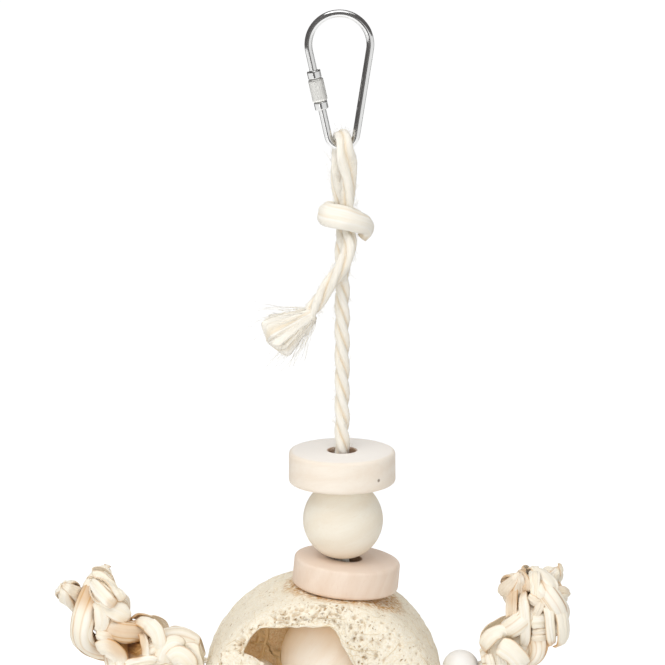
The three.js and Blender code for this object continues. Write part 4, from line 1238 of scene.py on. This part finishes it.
for side in ("right", "left"):
    for number in range(3):
        add_strand(side, number)
    add_band(side)
    add_cuff(side)
    add_ribbons(side)
    add_tips(side)
    add_arm_cord(side)


# Loofah slice; its front opening's outline runs in lines and bends, in shares of the hollow's half sizes
OPENING = [
    [(-0.72, 1.03), (0.035, 1.065)],
    [(0.035, 1.065), (0.14, 1.05), (0.17, 0.95)],
    [(0.17, 0.95), (0.65, 0.0)],
    [(0.65, 0.0), (0.89, -0.54), (0.48, -0.88)],
    [(0.48, -0.88), (-0.14, -1.15), (-0.68, -0.85)],
    [(-0.68, -0.85), (-1.1, -0.34), (-0.92, 0.61)],
    [(-0.92, 0.61), (-0.89, 0.88), (-0.72, 1.03)],
]
THREAD_ROWS = 9


def opening_edge():
    """The front opening's outline round the slice's middle, across and up in millimetres."""
    t = np.linspace(0, 1, 24, endpoint=False)[:, None]
    edge = []
    for corners in OPENING:
        a, *bend, b = [np.array(corner) * HOLLOW_HALF for corner in corners]
        if bend:
            edge.append(a * (1 - t) ** 2 + bend[0] * 2 * t * (1 - t) + b * t ** 2)
        else:
            edge.append(a * (1 - t) + b * t)
    return np.vstack(edge)


def edge_distance(flat, edge):
    """Distance from each (across, up) point to the outline, and the outline's direction there."""
    near = np.full(len(flat), 1e9)
    way = np.zeros((len(flat), 2))
    for a, b in zip(edge, np.roll(edge, -1, axis=0)):
        run = b - a
        share = np.clip(((flat - a) @ run) / (run @ run), 0, 1)
        gap = np.linalg.norm(flat - a - share[:, None] * run, axis=1)
        closer = gap < near
        near[closer] = gap[closer]
        way[closer] = run / np.linalg.norm(run)
    return near, way


def close_skin(node, voxel):
    """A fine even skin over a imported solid: points, normals and faces."""
    made = bpy.data.objects.new("skin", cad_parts[node].data.copy())
    scene.collection.objects.link(made)
    remesh = made.modifiers.new("skin", "REMESH")
    remesh.mode = "VOXEL"
    remesh.voxel_size = voxel * MM
    mesh = bpy.data.meshes.new_from_object(made.evaluated_get(bpy.context.evaluated_depsgraph_get()))
    points = np.empty(len(mesh.vertices) * 3)
    normals = np.empty(len(mesh.vertices) * 3)
    mesh.vertices.foreach_get("co", points)
    mesh.vertices.foreach_get("normal", normals)
    faces = [list(p.vertices) for p in mesh.polygons]
    bpy.data.objects.remove(made)
    bpy.data.meshes.remove(mesh)
    return points.reshape(-1, 3) / MM, normals.reshape(-1, 3), faces


def press_pits(points, normals, pits):
    """The skin with oval pits pushed in, each (centre, way, radius, stretch, depth), and its pit mark."""
    pushed = np.zeros(len(points))
    mark = np.zeros(len(points))
    order = np.argsort(points[:, 0])
    sorted_x = points[order, 0]
    for centre, way, radius, stretch, deep in pits:
        reach = radius * stretch
        first, last = np.searchsorted(sorted_x, [centre[0] - reach, centre[0] + reach])
        some = order[first:last]
        some = some[(np.abs(points[some] - centre) < reach).all(axis=1)]
        off = points[some] - centre
        run = off @ way
        side = np.linalg.norm(off - run[:, None] * way, axis=1)
        bowl = np.clip(1 - ((run / reach) ** 2 + (side / radius) ** 2), 0, 1)
        pushed[some] = np.maximum(pushed[some], deep * bowl)
        mark[some] = np.maximum(mark[some], ease(bowl, 0.1, 0.8))
    return points - normals * pushed[:, None], mark


def eased(points, faces, share, rounds):
    """Moves points towards the middle of their neighbours, each by its own share."""
    quads = np.array(faces)
    pairs = np.concatenate([quads[:, [i, (i + 1) % 4]] for i in range(4)])
    count = np.bincount(pairs[:, 0], minlength=len(points))[:, None]
    for _ in range(rounds):
        sums = [np.bincount(pairs[:, 0], points[pairs[:, 1], k], len(points)) for k in range(3)]
        points = points + share[:, None] * (np.stack(sums, axis=1) / count - points)
    return points


def torn_tongue():
    """The tongue of torn fibre across the opening's upper left corner."""
    route = smooth_route([(-36.5, -21.4, -208.8), (-32, -22.2, -208), (-28.6, -22.3, -207.8),
                          (-25.6, -21.7, -208), (-23.6, -21, -208.6)], 0.4)
    share = np.linspace(0, 1, len(route))
    tall = np.interp(share, [0, 0.35, 0.7, 0.9, 1], [8.0, 7.2, 5.4, 3.2, 0.3])[:, None]
    thick = np.interp(share, [0, 0.5, 0.9, 1], [2.2, 1.9, 1.3, 0.2])[:, None]
    upward = unit(np.cross([0, -1, 0], headings(route)))
    ways = (upward, np.broadcast_to([0.0, 1.0, 0.0], route.shape))
    ring = full_turn(44)
    out = swept(0 * route, ways, (np.sin(ring), np.cos(ring)))
    rings = swept(route, ways, (tall * np.sin(ring), thick * np.cos(ring)))
    flat = rings.reshape(-1, 3)
    lumps = (0.9 * noise_at(flat / 2.6) + 0.5 * noise_at(flat / 1.1)).reshape(rings.shape[:2])
    rings = rings + out * (lumps * ease(thick, 0.2, 1.2))[..., None]
    # Painted shade in the hollows between the tongue's lumps.
    return shape_of(rings, tube_faces, pit=0.35 * ease(-lumps, 0.3, 0.8), cut=0.25)


def creeping_line(skin, start, heading, step, stray, lift, farthest=math.inf):
    """A fibre's line that wanders over the skin, up to a distance from the slice's axis."""
    line = []
    here = Vector(start)
    for _ in range(THREAD_ROWS):
        spot, normal = skin.find_nearest(here)[:2]
        line.append(tuple(spot + normal * lift))
        heading = heading + Vector(chance.normal(size=3)) * stray
        heading = (heading - normal * heading.dot(normal)).normalized()
        ahead = spot + heading * step
        here = ahead if math.hypot(ahead.x - LOOFAH[0], ahead.z - LOOFAH[2]) < farthest else spot
    return line


def add_loofah_threads(skin, points, cut, inside):
    count = 2300
    weight = 0.06 + 1.2 * cut + np.where(inside, 0.6, 0)
    starts = chance.choice(len(points), count, p=weight / weight.sum())
    lines = []
    for start in starts:
        heading = Vector(unit(chance.normal(size=3)))
        lines.append(creeping_line(skin, points[start], heading, chance.uniform(0.6, 1.7), 0.28, 0.02))
    radii = np.repeat(chance.uniform(0.06, 0.13, count)[:, None], THREAD_ROWS, axis=1)
    radii[:, [0, -1]] *= 0.4
    # Fibres in the hollow get tones above 1, which the finish paints paler and glowing as painted light.
    tones = chance.uniform(0, 1, count) + np.where(inside[starts], 1.0, 0.0)
    add_threads("loofah_threads", np.array(lines), radii, loofah_thread, "loofah", "loofah_fibre", tones)


def add_loofah_bundles(skin, points, back_wall):
    """Thick fibre bundles on the hollow's back wall; the first is a fold that the photograph shows."""
    count = 18
    starts = chance.choice(np.flatnonzero(back_wall), count, replace=False)
    fold = np.linspace((-28.5, 20, -202), (-19.5, 20, -218.5), THREAD_ROWS)
    fold = [skin.find_nearest(Vector(place))[:2] for place in fold]
    lines = [[tuple(spot + normal * 0.5) for spot, normal in fold]]
    for start in starts[1:]:
        heading = Vector((chance.normal() * 0.5, 0, 1))
        lines.append(creeping_line(skin, points[start], heading, 2.4, 0.22, 0.3, 29))
    radii = np.repeat(chance.uniform(0.5, 1.1, count)[:, None], THREAD_ROWS, axis=1)
    radii[0] = 1.5
    radii[:, [0, -1]] *= 0.3
    # Tones above 1: the bundles are painted paler and glowing, as painted light.
    tones = chance.uniform(1.4, 2.0, count)
    add_threads("loofah_bundles", np.array(lines), radii, loofah_thread, "loofah", "loofah_fibre", tones)


def loofah_pieces():
    points, normals, faces = close_skin("loofah_slice", 0.52)
    from_middle = points - LOOFAH
    depth = from_middle[:, 1]
    up, right = from_middle @ LEAN_UP, from_middle @ LEAN_RIGHT
    across_up = from_middle[:, [0, 2]]
    near, way = edge_distance(across_up, opening_edge())
    outer = np.linalg.norm(across_up, axis=1)

    # Where the skin is the cut front, the back or the hollow
    on_front = (depth < 6 - LOOFAH_HALF_DEPTH) & (normals[:, 1] < -0.4)
    on_back = (depth > LOOFAH_HALF_DEPTH - 6) & (normals[:, 1] > 0.4)
    patchy = noise_at(points / 7.0)
    cut = np.where(on_front, 1 - ease(near, 0, 14), np.where(on_back, 0.3 * ease(patchy, -0.3, 0.5), 0))
    facing_out = np.sum(normals[:, [0, 2]] * unit(across_up), axis=1)
    deep_in = np.abs(depth) < LOOFAH_HALF_DEPTH - 3
    inside = deep_in & ((outer < 33) | ((facing_out < 0.2) & (np.abs(depth) < 18)))

    # The sunk and eased rim, and the mat's relief, kept out of the discs' seats
    points = points - normals * (1.6 * cut ** 2)[:, None]
    on_rim = (depth < 8 - LOOFAH_HALF_DEPTH) * (1 - ease(near, 0.8, 2.6))
    points = eased(points, faces, 0.6 * on_rim, 10)
    rough = 0.5 * noise_at(points / 9.0) + 0.35 * noise_at(points / 3.2)
    seat = (np.abs(up) > SEAT - 1.2) & (np.abs(right) < 22) & (np.abs(depth) < 20)
    rough = np.where(seat, np.minimum(rough, 0), rough) * np.where(inside, 1.4, 1.0)
    ragged = 0.55 + 0.5 * (1 - ease(near, 0, 3))
    points = points + normals * (ragged * rough)[:, None]

    # Pits, drawn out along the opening's edge where the front is cut
    weight = (0.14 + 1.5 * cut + np.where(inside, 0.4, 0)) * ease(near, 1.4, 3.0)
    count = 1900
    picks = chance.choice(len(points), count, replace=False, p=weight / weight.sum())
    along_edge = np.stack([way[picks, 0], np.zeros(count), way[picks, 1]], axis=1)
    stray = unit(chance.normal(size=(count, 3)))
    ways = unit(np.where((cut[picks] > 0.05)[:, None], along_edge + 0.45 * stray, stray))
    big = cut[picks]
    radius = chance.uniform(0.4, 0.58, count) + 0.22 * big * chance.uniform(0, 1, count)
    pit_depth = chance.uniform(0.35, 0.7, count) + 0.9 * big * chance.uniform(0.2, 1, count)
    stretch = chance.uniform(1.1, 2.0, count)
    points, pit = press_pits(points, normals, zip(points[picks], ways, radius, stretch, pit_depth))

    # The seat under the lower disc takes a patchy painted contact shadow.
    under_disc = (up > 30) * (1 - ease(np.hypot(right - LOWER_DISC_SHIFT, depth), 17.5, 21.5))
    marks = {
        "pit": 0.4 * pit,
        "cut": cut * ease(near, 0.8, 3.0),
        "inside": np.where(inside, 1.0, 0.0),
        "disc_shadow": 0.9 * under_disc * ease(noise_at(points / 0.9), -0.5, 0.35),
    }
    new_piece("loofah_mat", (points, faces, marks), loofah_mat, "loofah", "loofah_fibre", ["loofah_slice"])
    new_piece("loofah_tongue", torn_tongue(), loofah_mat, "loofah", "loofah_fibre")
    skin = BVHTree.FromPolygons(points.tolist(), faces)
    add_loofah_threads(skin, points, cut, inside)
    add_loofah_bundles(skin, points, inside & (normals[:, 1] < -0.6) & (outer < 27))


loofah_pieces()


# Setting: pale floor, white surround and soft light from above
def seen_by(nodes, *rays):
    """1 for the named kinds of ray, 0 for the others."""
    path = nodes.add("ShaderNodeLightPath").outputs
    seen = path[rays[0]]
    for ray in rays[1:]:
        seen = nodes.math("MAXIMUM", seen, path[ray])
    return seen


def floor_finish():
    nodes = Finish("pale floor")
    strength = nodes.times(seen_by(nodes, "Is Camera Ray", "Is Glossy Ray"), 0.5)
    nodes.feed(Base_Color=(0.9, 0.9, 0.9, 1), Roughness=0.9, Specular_IOR_Level=0.0)
    return nodes.feed(Emission_Color=(1, 1, 1, 1), Emission_Strength=strength)


def flag_finish():
    nodes = Finish("dark flag")
    nodes.feed(Base_Color=(0.01, 0.01, 0.01, 1), Roughness=1.0, Specular_IOR_Level=0.0)
    return nodes.feed(Emission_Color=(1.0, 0.95, 0.93, 1), Emission_Strength=0.13)


def add_flag(name, bearings, heights, finish):
    """A dark curved sheet round the link, for the steel to mirror; bearing 0 is the camera's side."""
    radius, rows = 0.6, 9
    columns = int((bearings[1] - bearings[0]) / 6) + 2
    a = np.radians(np.linspace(*bearings, columns))[None, :]
    h = np.radians(np.linspace(*heights, rows))[:, None]
    round_link = np.stack([np.sin(a) * np.cos(h), -np.cos(a) * np.cos(h), np.sin(h) + 0 * a], axis=-1)
    points = radius * round_link.reshape(-1, 3) - [0, 0, 0.02]
    flag = new_object(name, points, grid_faces(rows, columns, False).tolist(), finish)
    flag.visible_camera = False
    flag.visible_diffuse = False
    flag.visible_shadow = False
    return flag


def add_lamp(name, place, target, size, watts):
    lamp = bpy.data.lights.new(name, "AREA")
    lamp.shape = "DISK"
    lamp.size = size
    lamp.energy = watts
    holder = bpy.data.objects.new(name, lamp)
    holder.location = place
    holder.rotation_mode = "QUATERNION"
    holder.rotation_quaternion = (Vector(target) - Vector(place)).to_track_quat("-Z", "Y")
    scene.collection.objects.link(holder)


def surround():
    world = bpy.data.worlds.new("white surround")
    scene.world = world
    world.use_nodes = True
    nodes = Nodes(world.node_tree)
    seen = seen_by(nodes, "Is Camera Ray", "Is Glossy Ray", "Is Transmission Ray")
    back = world.node_tree.nodes["Background"].inputs
    back["Color"].default_value = (1, 1, 1, 1)
    nodes.join(nodes.span(seen, 0, 1, 0.58, 1.0), back["Strength"])


def setting():
    half, level = 4, -0.345
    corners = [(-half, -half, level), (half, -half, level), (half, half, level), (-half, half, level)]
    floor = new_object("floor", corners, [(0, 1, 2, 3)], floor_finish())
    dark = flag_finish()
    flags = [
        add_flag("flag_round", (-180, 180), (9, 60), dark),
        add_flag("flag_left", (-175, -22), (-13, 9), dark),
        add_flag("flag_near", (-22, 10), (-24, 9), dark),
        add_flag("flag_far_left", (-165, -128), (-30, -13), dark),
        add_flag("flag_far_right", (112, 132), (-28, 20), dark),
    ]
    add_lamp("overhead", (-0.15, -0.35, 0.55), (0, 0, -0.17), 0.8, 3.1)
    add_lamp("in_front", (-0.2, -0.9, -0.08), (0, 0, -0.2), 0.7, 2.2)
    surround()
    scene.view_settings.view_transform = "Standard"


setting()
